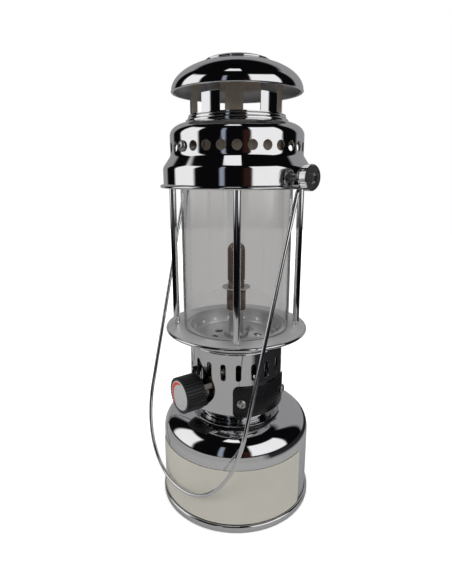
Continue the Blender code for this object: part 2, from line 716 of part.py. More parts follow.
def make_valve():
    """Brass valve on the tank's neck: block with a branch for the needle, seal, gland nut and jet."""
    hex_top = VALVE_HEX_BOTTOM + VALVE_HEX_HEIGHT
    stem_bottom = TANK_TOP - TANK_WALL - VALVE_DIP
    stem = [(0.0, stem_bottom), (VALVE_STEM_RADIUS, stem_bottom), (VALVE_STEM_RADIUS, hex_top)]
    stem += [(VALVE_BLOCK_RADIUS, hex_top), (VALVE_BLOCK_RADIUS, VALVE_TOP), (0.0, VALVE_TOP)]
    body = place("valve_body", turned(stem, 16), BRASS)
    hexagon = place("join_valve_hexagon", prism(polygon(VALVE_HEX_ACROSS, 6), VALVE_HEX_BOTTOM, hex_top))
    boolean(body, hexagon, "UNION")
    branch = place(
        "join_valve_branch", turned([
            (0.0, 0.0), (VALVE_BRANCH_RADIUS, 0.0),
            (VALVE_BRANCH_RADIUS, VALVE_BRANCH_LENGTH), (0.0, VALVE_BRANCH_LENGTH),
        ], 16), location=(0, 0, KNOB_AXIS), azimuth=KNOB_AZIMUTH,
    )
    boolean(body, branch, "UNION")
    seal_pocket = SPINDLE_RADIUS + RUNNING_GAP + SEAL_WIDTH + SEAT_GAP
    pocket_floor = VALVE_BRANCH_LENGTH - SEAL_THICKNESS - SEAT_GAP
    bore = place(
        "cut_valve_bore", turned([
            (0.0, SPINDLE_TIP - SEAT_GAP), (SPINDLE_HOLE_RADIUS, SPINDLE_TIP - SEAT_GAP),
            (SPINDLE_HOLE_RADIUS, pocket_floor), (seal_pocket, pocket_floor),
            (seal_pocket, VALVE_BRANCH_LENGTH + OVERRUN), (0.0, VALVE_BRANCH_LENGTH + OVERRUN),
        ], ROD_STEPS), location=(0, 0, KNOB_AXIS), azimuth=KNOB_AZIMUTH,
    )
    boolean(body, bore)

    seal = [
        (SPINDLE_HOLE_RADIUS, 0.0), (SPINDLE_HOLE_RADIUS + SEAL_WIDTH, 0.0),
        (SPINDLE_HOLE_RADIUS + SEAL_WIDTH, SEAL_THICKNESS), (SPINDLE_HOLE_RADIUS, SEAL_THICKNESS),
    ]
    place(
        "spindle_seal", turned(seal, ROD_STEPS), RUBBER,
        along(KNOB_AZIMUTH, pocket_floor + SEAT_GAP, KNOB_AXIS), KNOB_AZIMUTH,
    )
    place(
        "gland_nut", nut(GLAND_ACROSS, GLAND_HEIGHT, SPINDLE_HOLE_RADIUS, ROD_STEPS), BRASS,
        along(KNOB_AZIMUTH, VALVE_BRANCH_LENGTH + SEAT_GAP, KNOB_AXIS), KNOB_AZIMUTH,
    )


def sloped_top(body, radius, edge):
    """Raises a prism's top by the edge's width and draws it in by as much."""
    level = max(vertex.co.z for vertex in body.verts)
    top = [face for face in body.faces if face.calc_center_median().z > level - WELD]
    raised = bmesh.ops.extrude_face_region(body, geom=top)
    moved = [item for item in raised["geom"] if isinstance(item, bmesh.types.BMVert)]
    bmesh.ops.delete(body, geom=top, context="FACES_ONLY")
    shrink = (radius - edge) / radius
    bmesh.ops.translate(body, verts=moved, vec=(0, 0, edge))
    bmesh.ops.scale(body, verts=moved, vec=(shrink, shrink, 1))
    return body


def make_knob():
    """Ribbed knob with its cap and the needle spindle, on an empty on the valve's axis."""
    pivot = bpy.data.objects.new("knob_pivot", None)
    bpy.context.scene.collection.objects.link(pivot)
    pivot.location = (0, 0, KNOB_AXIS)
    pivot.rotation_euler = (math.radians(90), 0, KNOB_AZIMUTH)

    front = KNOB_BACK + KNOB_LENGTH
    grip = ribbed(KNOB_RADIUS, KNOB_RIB_DEPTH, KNOB_RIB_COUNT, RIB_LAND_SHARES)
    body = sloped_top(prism(grip, KNOB_BACK, front - KNOB_EDGE), KNOB_RADIUS, KNOB_EDGE)
    knob = place("regulator_knob", body, KNOB_PLASTIC, parent=pivot)
    hub_bottom = VALVE_BRANCH_LENGTH + SEAT_GAP + GLAND_HEIGHT + KNOB_HUB_GAP
    hub = place("join_knob_hub", turned([
        (0.0, hub_bottom), (KNOB_HUB_RADIUS, hub_bottom),
        (KNOB_HUB_RADIUS, KNOB_BACK + OVERRUN), (0.0, KNOB_BACK + OVERRUN),
    ], 16), parent=pivot)
    boolean(knob, hub, "UNION")
    cap_seat = front - CAP_THICKNESS - SEAT_GAP
    recess = place("cut_cap_recess", turned([
        (0.0, cap_seat), (CAP_RADIUS + SEAT_GAP, cap_seat),
        (CAP_RADIUS + SEAT_GAP, front + OVERRUN), (0.0, front + OVERRUN),
    ], 24), parent=pivot)
    boolean(knob, recess)
    bore = place("cut_knob_bore", turned([
        (0.0, hub_bottom - OVERRUN), (SPINDLE_RADIUS + SEAT_GAP, hub_bottom - OVERRUN),
        (SPINDLE_RADIUS + SEAT_GAP, hub_bottom + KNOB_BORE_DEPTH), (0.0, hub_bottom + KNOB_BORE_DEPTH),
    ], ROD_STEPS), parent=pivot)
    boolean(knob, bore)

    cap_bottom = cap_seat + SEAT_GAP
    cap = [(0.0, cap_bottom), (CAP_RADIUS, cap_bottom), (CAP_RADIUS, cap_bottom + CAP_THICKNESS)]
    cap += [(CAP_RADIUS / 2, cap_bottom + CAP_THICKNESS + CAP_CROWN * 3 / 4)]
    cap += [(0.0, cap_bottom + CAP_THICKNESS + CAP_CROWN)]
    place("knob_cap", turned(cap, 24), CAP_PLASTIC, parent=pivot)

    spindle_end = hub_bottom + KNOB_BORE_DEPTH - SEAT_GAP
    needle = [
        (0.0, SPINDLE_TIP), (VALVE_SEAT_RADIUS / 2, SPINDLE_TIP),
        (SPINDLE_RADIUS, SPINDLE_TIP + SPINDLE_RADIUS * 2),
        (SPINDLE_RADIUS, spindle_end), (0.0, spindle_end),
    ]
    place("valve_spindle", turned(needle, ROD_STEPS), STEEL, parent=pivot)


def make_gallery():
    """Gallery plate with its cup, the bridge below it and the screws that join them."""
    bottom = CUP_FLOOR_BOTTOM
    plate_bottom = GALLERY_TOP - GALLERY_SHEET
    lip_top = GALLERY_TOP + GLOBE_LIP_RISE
    lip_outer = CUP_INNER_RADIUS + GLOBE_LIP_WIDTH
    roll_centre = GALLERY_RADIUS - GALLERY_ROLL
    outline = [(TUBE_HOLE_RADIUS, bottom), (CUP_OUTER_RADIUS - CUP_ROUND, bottom)]
    outline += arc(
        CUP_OUTER_RADIUS - CUP_ROUND, bottom + CUP_ROUND, CUP_ROUND, CUP_ROUND, math.radians(-45), 0.0, 1,
    )
    outline += [(CUP_OUTER_RADIUS, plate_bottom), (roll_centre, plate_bottom)]
    outline += arc(
        roll_centre, GALLERY_TOP - GALLERY_ROLL, GALLERY_ROLL, GALLERY_ROLL,
        math.radians(-80), math.radians(90), 4,
    )
    outline += [(lip_outer + GALLERY_SHEET, GALLERY_TOP), (lip_outer, lip_top), (CUP_INNER_RADIUS, lip_top)]
    outline += arc(
        CUP_INNER_RADIUS - CUP_ROUND, CUP_FLOOR + CUP_ROUND, CUP_ROUND, CUP_ROUND, 0.0, math.radians(-45), 1,
    )
    outline += [(CUP_INNER_RADIUS - CUP_ROUND, CUP_FLOOR), (TUBE_HOLE_RADIUS, CUP_FLOOR)]
    gallery = place("gallery", turned(outline, SHELL_STEPS, math.pi / SHELL_STEPS), CHROME)

    for number in range(CUP_HOLE_COUNT):
        azimuth = CUP_HOLE_START + math.tau * number / CUP_HOLE_COUNT
        cutter = place(
            f"cut_cup_hole_{number}",
            prism(
                circle(CUP_HOLE_RADIUS, HOLE_STEPS), CUP_INNER_RADIUS - OVERRUN, CUP_OUTER_RADIUS + OVERRUN,
            ),
            location=(0, 0, CUP_FLOOR + CUP_HOLE_RISE), azimuth=azimuth,
        )
        boolean(gallery, cutter)

    bridge_top = HOUSING_TOP - HOUSING_WALL - SEAT_GAP
    bridge_corner = HOUSING_RADIUS - HOUSING_WALL - BRIDGE_END_GAP
    bridge_length = 2 * math.sqrt(bridge_corner ** 2 - (BRIDGE_WIDTH / 2) ** 2)
    screw_azimuth = FLOOR_HOLE_START + math.tau * GALLERY_SCREW_PLACES[0] / FLOOR_HOLE_PLACES
    bridge = place("burner_bridge", prism(
        rounded_rectangle(BRIDGE_WIDTH, bridge_length, BRIDGE_SHEET, 2), bridge_top - BRIDGE_SHEET, bridge_top,
    ), ZINC)
    bridge.rotation_euler = (0, 0, screw_azimuth)
    tube_hole = place("cut_tube_hole", prism(
        circle(TUBE_HOLE_RADIUS, 16), bridge_top - BRIDGE_SHEET - OVERRUN, bridge_top + OVERRUN,
    ))
    boolean(bridge, tube_hole)
    for place_number in range(FLOOR_HOLE_PLACES):
        azimuth = FLOOR_HOLE_START + math.tau * place_number / FLOOR_HOLE_PLACES
        centre = along(azimuth, FLOOR_HOLE_CIRCLE)
        is_screw = place_number in GALLERY_SCREW_PLACES
        radius = SCREW_HOLE_RADIUS if is_screw else FLOOR_HOLE_RADIUS
        cutter = place(
            f"cut_floor_hole_{place_number}",
            prism(
                circle(radius, SMALL_STEPS, centre), bridge_top - BRIDGE_SHEET - OVERRUN, CUP_FLOOR + OVERRUN,
            ),
        )
        boolean(gallery, cutter)
        if is_screw:
            boolean(bridge, cutter)
            number = GALLERY_SCREW_PLACES.index(place_number) + 1
            pan_screw(f"gallery_screw_{number}", GALLERY_SCREW_LENGTH, (*centre.xy, CUP_FLOOR + SEAT_GAP))

    for number in range(ROD_COUNT):
        centre = along(ROD_START + math.tau * number / ROD_COUNT, ROD_CIRCLE)
        cutter = place(
            f"cut_rod_hole_{number}",
            prism(
                circle(ROD_SPIGOT_RADIUS + SEAT_GAP, HOLE_STEPS, centre),
                plate_bottom - OVERRUN, GALLERY_TOP + OVERRUN,
            ),
        )
        boolean(gallery, cutter)


def make_burner():
    """Jet, mixing tube with its nuts, burner head, washer and gauze."""
    jet_bottom = VALVE_TOP + SEAT_GAP
    jet_hex_top = jet_bottom + JET_HEX_HEIGHT
    jet = place("gas_jet", turned([
        (0.0, jet_bottom), (JET_TIP_RADIUS, jet_bottom), (JET_TIP_RADIUS, jet_hex_top + JET_TIP_LENGTH / 2),
        (JET_TIP_RADIUS / 2, jet_hex_top + JET_TIP_LENGTH), (JET_BORE_RADIUS, jet_hex_top + JET_TIP_LENGTH),
        (JET_BORE_RADIUS, jet_hex_top + JET_TIP_LENGTH / 2), (0.0, jet_hex_top + JET_TIP_LENGTH / 2),
    ], SMALL_STEPS), BRASS)
    boolean(jet, place("join_jet_hexagon", prism(polygon(JET_ACROSS, 6), jet_bottom, jet_hex_top)), "UNION")

    tube_inner = TUBE_RADIUS - TUBE_WALL
    tube_bottom = jet_hex_top + JET_TIP_LENGTH - TUBE_ENTRY
    tube_top = CUP_FLOOR + TUBE_TOP_RISE
    tube = place("burner_tube", turned([
        (tube_inner, tube_bottom), (TUBE_RADIUS, tube_bottom), (TUBE_RADIUS, tube_top), (tube_inner, tube_top),
    ], 16), ZINC)
    for number in range(2):
        cutter = place(
            f"cut_air_hole_{number}",
            prism(circle(AIR_HOLE_RADIUS, HOLE_STEPS), -TUBE_RADIUS - OVERRUN, TUBE_RADIUS + OVERRUN),
            location=(0, 0, tube_bottom + AIR_HOLE_RISE), azimuth=math.radians(90) * number,
        )
        boolean(tube, cutter)
    place(
        "tube_flange_nut", nut(TUBE_NUT_ACROSS, TUBE_NUT_HEIGHT, TUBE_HOLE_RADIUS, 16), ZINC,
        (0, 0, CUP_FLOOR + SEAT_GAP),
    )
    bridge_bottom = HOUSING_TOP - HOUSING_WALL - SEAT_GAP - BRIDGE_SHEET
    place(
        "tube_lock_nut", nut(TUBE_NUT_ACROSS, LOCK_NUT_HEIGHT, TUBE_HOLE_RADIUS, 16), ZINC,
        (0, 0, bridge_bottom - SEAT_GAP - LOCK_NUT_HEIGHT),
    )

    head_bottom = tube_top - HEAD_OVERLAP
    head_top = head_bottom + HEAD_HEIGHT
    neck_top = head_top + HEAD_NECK_HEIGHT
    spigot_top = neck_top + HEAD_SPIGOT_HEIGHT
    seat = tube_top + SEAT_GAP
    head = [
        (TUBE_HOLE_RADIUS, head_bottom), (HEAD_RADIUS, head_bottom), (HEAD_RADIUS, head_top),
        (HEAD_NECK_RADIUS, head_top), (HEAD_NECK_RADIUS, neck_top), (HEAD_SPIGOT_RADIUS, neck_top),
        (HEAD_SPIGOT_RADIUS, spigot_top), (HEAD_BORE_RADIUS, spigot_top), (HEAD_BORE_RADIUS, seat),
        (TUBE_HOLE_RADIUS, seat),
    ]
    place("burner_head", turned(head, 16), BURNER_METAL)

    washer_bottom = head_top + WASHER_RISE
    washer_inner = HEAD_NECK_RADIUS + SEAT_GAP
    place("mantle_washer", turned([
        (washer_inner, washer_bottom), (WASHER_RADIUS, washer_bottom),
        (WASHER_RADIUS, washer_bottom + WASHER_THICKNESS), (washer_inner, washer_bottom + WASHER_THICKNESS),
    ], 20), ZINC)

    gauze_bottom = neck_top + SEAT_GAP
    shoulder_height = gauze_bottom + GAUZE_HEIGHT - GAUZE_CROWN
    inner = GAUZE_RADIUS - GAUZE_WALL
    foot = HEAD_SPIGOT_RADIUS + SEAT_GAP
    crown_end = math.radians(78)
    gauze = [(foot, gauze_bottom), (foot + GAUZE_WALL, gauze_bottom)]
    gauze += [(GAUZE_RADIUS, gauze_bottom + GAUZE_FOOT)]
    gauze += arc(0.0, shoulder_height, GAUZE_RADIUS, GAUZE_CROWN, 0.0, crown_end, 4)
    tip_top = gauze[-1][1] + GAUZE_TIP_HEIGHT
    gauze += [(GAUZE_TIP_RADIUS, tip_top - GAUZE_TIP_RADIUS), (GAUZE_TIP_RADIUS / 2, tip_top), (0.0, tip_top)]
    inside = arc(0.0, shoulder_height, inner, GAUZE_CROWN - GAUZE_WALL, 0.0, math.radians(90), 3)
    gauze += inside[::-1]
    gauze += [(inner, gauze_bottom + GAUZE_FOOT + GAUZE_WALL), (foot, gauze_bottom + GAUZE_WALL)]
    place("burner_gauze", turned(gauze_chain(gauze), 16), BURNER_METAL)


def gauze_chain(points):
    """The gauze's half section, started on the axis inside the crown so that it runs axis to axis."""
    inside_top = max(index for index, point in enumerate(points) if abs(point[0]) < WELD)
    chain = points[inside_top:] + points[:inside_top]
    return [(0.0, chain[0][1])] + chain[1:]


def make_globe():
    """Plain glass cylinder standing on the gallery round its lip."""
    bottom = GALLERY_TOP + SEAT_GAP
    top = bottom + ROD_LENGTH + GLOBE_STAND
    place("globe", turned([
        (GLOBE_INNER_RADIUS, bottom), (GLOBE_RADIUS, bottom), (GLOBE_RADIUS, top), (GLOBE_INNER_RADIUS, top),
    ], SHELL_STEPS), GLASS)


def make_frame():
    """Four rods with their nuts, and the top ring that carries the handle's studs."""
    foot_nut_top = GALLERY_TOP - GALLERY_SHEET - SEAT_GAP
    top_nut_bottom = RING_TOP + SEAT_GAP
    rod = [
        (0.0, foot_nut_top - ROD_NUT_HEIGHT - ROD_SPIGOT_SPARE),
        (ROD_SPIGOT_RADIUS, foot_nut_top - ROD_NUT_HEIGHT - ROD_SPIGOT_SPARE),
        (ROD_SPIGOT_RADIUS, ROD_BOTTOM), (ROD_RADIUS, ROD_BOTTOM),
        (ROD_RADIUS, ROD_TOP), (ROD_SPIGOT_RADIUS, ROD_TOP),
        (ROD_SPIGOT_RADIUS, top_nut_bottom + ROD_NUT_HEIGHT + ROD_SPIGOT_SPARE),
        (0.0, top_nut_bottom + ROD_NUT_HEIGHT + ROD_SPIGOT_SPARE),
    ]
    upstand_inner = RING_RADIUS - RING_SHEET
    ring = place("frame_ring", turned([
        (RING_INNER_RADIUS, RING_BOTTOM), (RING_RADIUS, RING_BOTTOM),
        (RING_RADIUS, RING_BOTTOM + RING_UPSTAND),
        (upstand_inner, RING_BOTTOM + RING_UPSTAND), (upstand_inner, RING_TOP), (RING_INNER_RADIUS, RING_TOP),
    ], HOOD_STEPS), STEEL)
    for number in range(ROD_COUNT):
        centre = along(ROD_START + math.tau * number / ROD_COUNT, ROD_CIRCLE)
        place(f"frame_rod_{number + 1}", turned(rod, ROD_STEPS), CHROME, centre)
        hole = ROD_SPIGOT_RADIUS + SEAT_GAP
        place(
            f"rod_foot_nut_{number + 1}", nut(ROD_NUT_ACROSS, ROD_NUT_HEIGHT, hole), ZINC,
            (*centre.xy, foot_nut_top - ROD_NUT_HEIGHT),
        )
        place(
            f"rod_top_nut_{number + 1}", nut(ROD_NUT_ACROSS, ROD_NUT_HEIGHT, hole), ZINC,
            (*centre.xy, top_nut_bottom),
        )
        cutter = place(
            f"cut_ring_hole_{number}",
            prism(circle(hole, HOLE_STEPS, centre), RING_BOTTOM - OVERRUN, RING_TOP + OVERRUN),
        )
        boolean(ring, cutter)

    head_outer = upstand_inner - HOLLOW_GAP
    reach = NUT_BOTTOM + NUT_THICKNESS - NUT_RECESS_DEPTH + STUD_SHOW
    stud = [
        (0.0, head_outer - STUD_HEAD_HEIGHT), (STUD_HEAD_RADIUS, head_outer - STUD_HEAD_HEIGHT),
        (STUD_HEAD_RADIUS, head_outer), (STUD_RADIUS, head_outer), (STUD_RADIUS, reach), (0.0, reach),
    ]
    for number in range(2):
        azimuth = HANDLE_AZIMUTH + math.pi * number
        place(f"handle_stud_{number + 1}", turned(stud, ROD_STEPS), ZINC, (0, 0, PIVOT_HEIGHT), azimuth)
        cutter = place(
            f"cut_stud_hole_{number}",
            prism(
                circle(STUD_RADIUS + SEAT_GAP, ROD_STEPS),
                upstand_inner - OVERRUN / 2, RING_RADIUS + OVERRUN / 2,
            ),
            location=(0, 0, PIVOT_HEIGHT), azimuth=azimuth,
        )
        boolean(ring, cutter)


def handle_side(side):
    """Centre line of one half of the handle from its eye to the middle: across, down and off its plane."""
    eye_radius = STUD_RADIUS + RUNNING_GAP + WIRE_RADIUS
    points = []
    for step in range(EYE_STEPS + 1):
        turn = EYE_START + (EYE_END - EYE_START) * step / EYE_STEPS
        across = HANDLE_HALF_WIDTH + EYE_PITCH * (EYE_END - turn) / math.tau
        points.append((side * across, -eye_radius * math.cos(turn), eye_radius * math.sin(turn)))
    end_down = points[-1][1]
    end_off = points[-1][2]
    for step in range(1, 4):
        share = step / 4
        ease = (1 + math.cos(math.pi * share)) / 2
        points.append((side * HANDLE_HALF_WIDTH, end_down + (EYE_NECK - end_down) * share, end_off * ease))
    for step in range(HANDLE_LEG_STEPS):
        share = step / HANDLE_LEG_STEPS
        down = EYE_NECK + (HANDLE_LEG - EYE_NECK) * share
        taper = (down - EYE_NECK) / (HANDLE_LEG - EYE_NECK)
        across = HANDLE_HALF_WIDTH + (HANDLE_ARC_HALF_WIDTH - HANDLE_HALF_WIDTH) * taper
        points.append((side * across, down, 0.0))
    half_arc = arc(
        0.0, HANDLE_LEG, HANDLE_ARC_HALF_WIDTH, HANDLE_ARC_HEIGHT,
        0.0, math.radians(90), HANDLE_ARC_STEPS // 2, power=HANDLE_ARC_POWER,
    )
    points += [(side * across, down, 0.0) for across, down in half_arc]
    return points


def make_handle():
    """Bent wire handle with eyes on the studs, hanging in front, and the two knurled thumb nuts."""
    pivot = bpy.data.objects.new("handle_pivot", None)
    bpy.context.scene.collection.objects.link(pivot)
    pivot.location = (0, 0, PIVOT_HEIGHT)
    across = along(HANDLE_AZIMUTH, 1.0)
    forward = along(HANDLE_AZIMUTH - math.radians(90), 1.0)
    down = Vector((0, 0, -1)) * math.cos(HANDLE_TILT) + forward * math.sin(HANDLE_TILT)
    off = across.cross(down)
    route = handle_side(1)
    route += handle_side(-1)[-2::-1]

    curve = bpy.data.curves.new("handle", "CURVE")
    curve.dimensions = "3D"
    curve.bevel_depth = WIRE_RADIUS
    curve.bevel_resolution = 2
    curve.use_fill_caps = True
    spline = curve.splines.new("POLY")
    spline.points.add(len(route) - 1)
    for point, (side_way, down_way, off_way) in zip(spline.points, route):
        point.co = (*(across * side_way + down * down_way + off * off_way), 1.0)
    handle = bpy.data.objects.new("handle", curve)
    bpy.context.scene.collection.objects.link(handle)
    handle.parent = pivot
    curve.materials.append(finish_material(CHROME))
    weld = handle.modifiers.new("weld", "WELD")
    weld.merge_threshold = WELD

    nut_top = NUT_BOTTOM + NUT_THICKNESS
    knurl = ribbed(NUT_RADIUS, NUT_RIB_DEPTH, NUT_RIB_COUNT, NUT_LAND_SHARES)
    for number in range(2):
        azimuth = HANDLE_AZIMUTH + math.pi * number
        body = sloped_top(prism(knurl, NUT_BOTTOM, nut_top - NUT_EDGE), NUT_RADIUS, NUT_EDGE)
        thumb_nut = place(f"thumb_nut_{number + 1}", body, CHROME, (0, 0, PIVOT_HEIGHT), azimuth)
        bore = place(f"cut_nut_bore_{number}", turned([
            (0.0, NUT_BOTTOM - OVERRUN), (STUD_RADIUS + RUNNING_GAP, NUT_BOTTOM - OVERRUN),
            (STUD_RADIUS + RUNNING_GAP, nut_top - NUT_RECESS_DEPTH),
            (NUT_RECESS_RADIUS, nut_top - NUT_RECESS_DEPTH),
            (NUT_RECESS_RADIUS, nut_top + OVERRUN), (0.0, nut_top + OVERRUN),
        ], ROD_STEPS), location=(0, 0, PIVOT_HEIGHT), azimuth=azimuth)
        boolean(thumb_nut, bore)


def hood_outline():
    """The hood's half section: beaded edge, band, step, upper band, crown and stepped cone."""
    sheet = HOOD_SHEET
    band = HOOD_BAND_RADIUS
    upper = HOOD_UPPER_RADIUS
    cone_start = upper - HOOD_CROWN_WIDTH * (1 - math.cos(HOOD_CROWN_END))
    middle = (cone_start + HOOD_NECK_RADIUS) / 2
    half_rise = HOOD_CONE_RISE / 2
    outer = [(HOOD_BEAD_RADIUS - sheet / 2, HOOD_BOTTOM)]
    outer += [(HOOD_BEAD_RADIUS, HOOD_BOTTOM + HOOD_BEAD_HEIGHT / 2)]
    outer += [(band, HOOD_BOTTOM + HOOD_BEAD_HEIGHT)]
    outer += sloped((band, HOOD_STEP_BOTTOM), (upper, HOOD_UPPER_BOTTOM), 3)
    outer += arc(
        upper - HOOD_CROWN_WIDTH, HOOD_CROWN_BOTTOM, HOOD_CROWN_WIDTH, HOOD_CROWN_RISE, 0.0, HOOD_CROWN_END, 3,
    )
    outer += [(middle + HOOD_CONE_STEP, HOOD_CONE_BOTTOM + half_rise - HOOD_CONE_STEP)]
    outer += [(middle, HOOD_CONE_BOTTOM + half_rise)]
    outer += [(HOOD_NECK_RADIUS, HOOD_TOP - HOOD_CONE_STEP), (HOOD_NECK_RADIUS, HOOD_TOP)]
    inner = [(band - sheet, HOOD_BOTTOM)]
    step_start = (band - sheet, HOOD_STEP_BOTTOM - sheet / 2)
    inner += sloped(step_start, (upper - sheet, HOOD_UPPER_BOTTOM - sheet / 2), 3)
    inner += arc(
        upper - HOOD_CROWN_WIDTH, HOOD_CROWN_BOTTOM, HOOD_CROWN_WIDTH - sheet, HOOD_CROWN_RISE - sheet,
        0.0, HOOD_CROWN_END, 2,
    )
    inner += [(HOOD_NECK_RADIUS - sheet, HOOD_TOP - HOOD_CONE_STEP - sheet)]
    inner += [(HOOD_NECK_RADIUS - sheet, HOOD_TOP)]
    return outer + inner[::-1]


def make_hood():
    """Pressed hood with its ring of holes and stud slots, and the flue on two screws inside it."""
    hood = place("hood_shell", turned(hood_outline(), HOOD_STEPS), CHROME)
    upper_inner = HOOD_UPPER_RADIUS - HOOD_SHEET
    places_per_screw = HOOD_HOLE_COUNT // FLUE_SCREW_COUNT
    for number in range(HOOD_HOLE_COUNT):
        azimuth = HOOD_HOLE_START + math.tau * number / HOOD_HOLE_COUNT
        radius = HOOD_HOLE_RADIUS if number % places_per_screw else SCREW_HOLE_RADIUS
        cutter = place(
            f"cut_hood_hole_{number}",
            prism(circle(radius, HOLE_STEPS), upper_inner - OVERRUN, HOOD_UPPER_RADIUS + OVERRUN),
            location=(0, 0, HOOD_HOLE_HEIGHT), azimuth=azimuth,
        )
        boolean(hood, cutter)

    slot_half = STUD_RADIUS + STUD_SLOT_GAP
    slot_drop = PIVOT_HEIGHT - HOOD_BOTTOM + OVERRUN
    turns = [math.pi * step / 6 for step in range(7)]
    slot = [(slot_half * math.cos(turn), slot_half * math.sin(turn)) for turn in turns]
    slot += [(-slot_half, -slot_drop), (slot_half, -slot_drop)]
    for number in range(2):
        cutter = place(
            f"cut_stud_slot_{number}", prism(slot, RING_RADIUS, HOOD_BEAD_RADIUS + OVERRUN),
            location=(0, 0, PIVOT_HEIGHT), azimuth=HANDLE_AZIMUTH + math.pi * number,
        )
        boolean(hood, cutter)

    flue_inner = FLUE_RADIUS - FLUE_WALL
    flue_bottom = HOOD_HOLE_HEIGHT - FLUE_BELOW_HOLES
    flue_top = HOOD_HOLE_HEIGHT + FLUE_ABOVE_HOLES
    flue = place("inner_flue", turned([
        (flue_inner, flue_bottom), (FLUE_RADIUS, flue_bottom), (FLUE_RADIUS, flue_top), (flue_inner, flue_top),
    ], HOOD_STEPS), STEEL)
    head_seat = HOOD_UPPER_RADIUS + SEAT_GAP
    nut_outer = flue_inner - HOLLOW_GAP
    spacer_inner = FLUE_RADIUS + SEAT_GAP
    spacer_outer = upper_inner - HOLLOW_GAP
    shank = head_seat - nut_outer + FLUE_NUT_HEIGHT + FLUE_SCREW_SPARE
    for number in range(FLUE_SCREW_COUNT):
        azimuth = HOOD_HOLE_START + math.tau * number / FLUE_SCREW_COUNT
        cutter = place(
            f"cut_flue_screw_{number}",
            prism(circle(SCREW_HOLE_RADIUS, HOLE_STEPS), flue_inner - OVERRUN, FLUE_RADIUS + OVERRUN),
            location=(0, 0, HOOD_HOLE_HEIGHT), azimuth=azimuth,
        )
        boolean(flue, cutter)
        pan_screw(f"flue_screw_{number + 1}", shank, along(azimuth, head_seat, HOOD_HOLE_HEIGHT), azimuth)
        place(f"flue_spacer_{number + 1}", turned([
            (SCREW_HOLE_RADIUS, spacer_inner), (SPACER_RADIUS, spacer_inner),
            (SPACER_RADIUS, spacer_outer), (SCREW_HOLE_RADIUS, spacer_outer),
        ], SMALL_STEPS), ZINC, (0, 0, HOOD_HOLE_HEIGHT), azimuth)
        place(
            f"flue_nut_{number + 1}", nut(FLUE_NUT_ACROSS, FLUE_NUT_HEIGHT, SCREW_HOLE_RADIUS), ZINC,
            along(azimuth, nut_outer - FLUE_NUT_HEIGHT, HOOD_HOLE_HEIGHT), azimuth,
        )


def dome_height(radius, dome_radius=DOME_RADIUS, rise=DOME_RISE):
    """Height of the dome's curve above its eave at a distance from the axis."""
    return rise * (1 - (radius / dome_radius) ** DOME_POWER) ** (1 / DOME_POWER)


def make_chimney():
    """Windowed chimney collar, dome with a rolled eave and the small cap on it."""
    inner = CHIMNEY_RADIUS - CHIMNEY_WALL
    dome_inside = dome_height(CHIMNEY_RADIUS, DOME_RADIUS - DOME_SHEET, DOME_RISE - DOME_SHEET)
    top = DOME_EAVE + dome_inside - DOME_HEAD_ROOM
    chimney = place("chimney_collar", turned([
        (inner, CHIMNEY_BOTTOM), (CHIMNEY_RADIUS, CHIMNEY_BOTTOM), (CHIMNEY_RADIUS, top), (inner, top),
    ], HOOD_STEPS), CHROME)
    width = 2 * CHIMNEY_RADIUS * math.sin(WINDOW_ANGLE / 2)
    window = rounded_rectangle(width, WINDOW_HEIGHT, WINDOW_CORNER, 2)
    middle = HOOD_TOP + WINDOW_RISE + WINDOW_HEIGHT / 2
    for number in range(WINDOW_COUNT):
        cutter = place(
            f"cut_window_{number}", prism(window, inner / 2, CHIMNEY_RADIUS + OVERRUN),
            location=(0, 0, middle), azimuth=WINDOW_START + math.tau * number / WINDOW_COUNT,
        )
        boolean(chimney, cutter)

    inner_radius = DOME_RADIUS - DOME_SHEET
    dome = arc(0.0, DOME_EAVE, DOME_RADIUS, DOME_RISE, math.radians(90), 0.0, DOME_STEPS, power=DOME_POWER)
    dome += [(DOME_RADIUS + DOME_ROLL / 2, DOME_EAVE - DOME_ROLL)]
    dome += [(DOME_RADIUS - DOME_SHEET, DOME_EAVE - DOME_ROLL * 2)]
    dome += [(inner_radius - DOME_ROLL, DOME_EAVE - DOME_ROLL)]
    inner_rise = DOME_RISE - DOME_SHEET
    dome += arc(
        0.0, DOME_EAVE, inner_radius, inner_rise, 0.0, math.radians(90), DOME_STEPS, power=DOME_POWER,
    )
    dome[0] = (0.0, dome[0][1])
    dome[-1] = (0.0, dome[-1][1])
    place("dome", turned(dome, HOOD_STEPS), CHROME)

    steps = 3
    under = []
    over = []
    for step in range(steps + 1):
        radius = DOME_CAP_RADIUS * step / steps
        seat = DOME_EAVE + dome_height(radius) + SEAT_GAP
        lift = (DOME_CAP_RISE - DOME_CAP_SHEET) * math.sqrt(1 - (step / steps) ** 2)
        under.append((radius, seat))
        over.append((radius, seat + DOME_CAP_SHEET + lift))
    place("dome_cap", turned(under + over[::-1], COLLAR_STEPS), CHROME)


def main():
    clear_scene()
    make_tank()
    make_neck()
    make_housing()
    make_valve()
    make_knob()
    make_gallery()
    make_burner()
    make_globe()
    make_frame()
    make_handle()
    make_hood()
    make_chimney()


main()
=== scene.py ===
"""Gas lantern: plated tank, housing, gallery, globe, hood and wire handle on a plain white floor."""
import json
import math
import bpy
from bpy.props import FloatProperty, FloatVectorProperty, IntProperty, PointerProperty
from bpy.types import Operator, Panel, PropertyGroup
from mathutils import Matrix, Vector


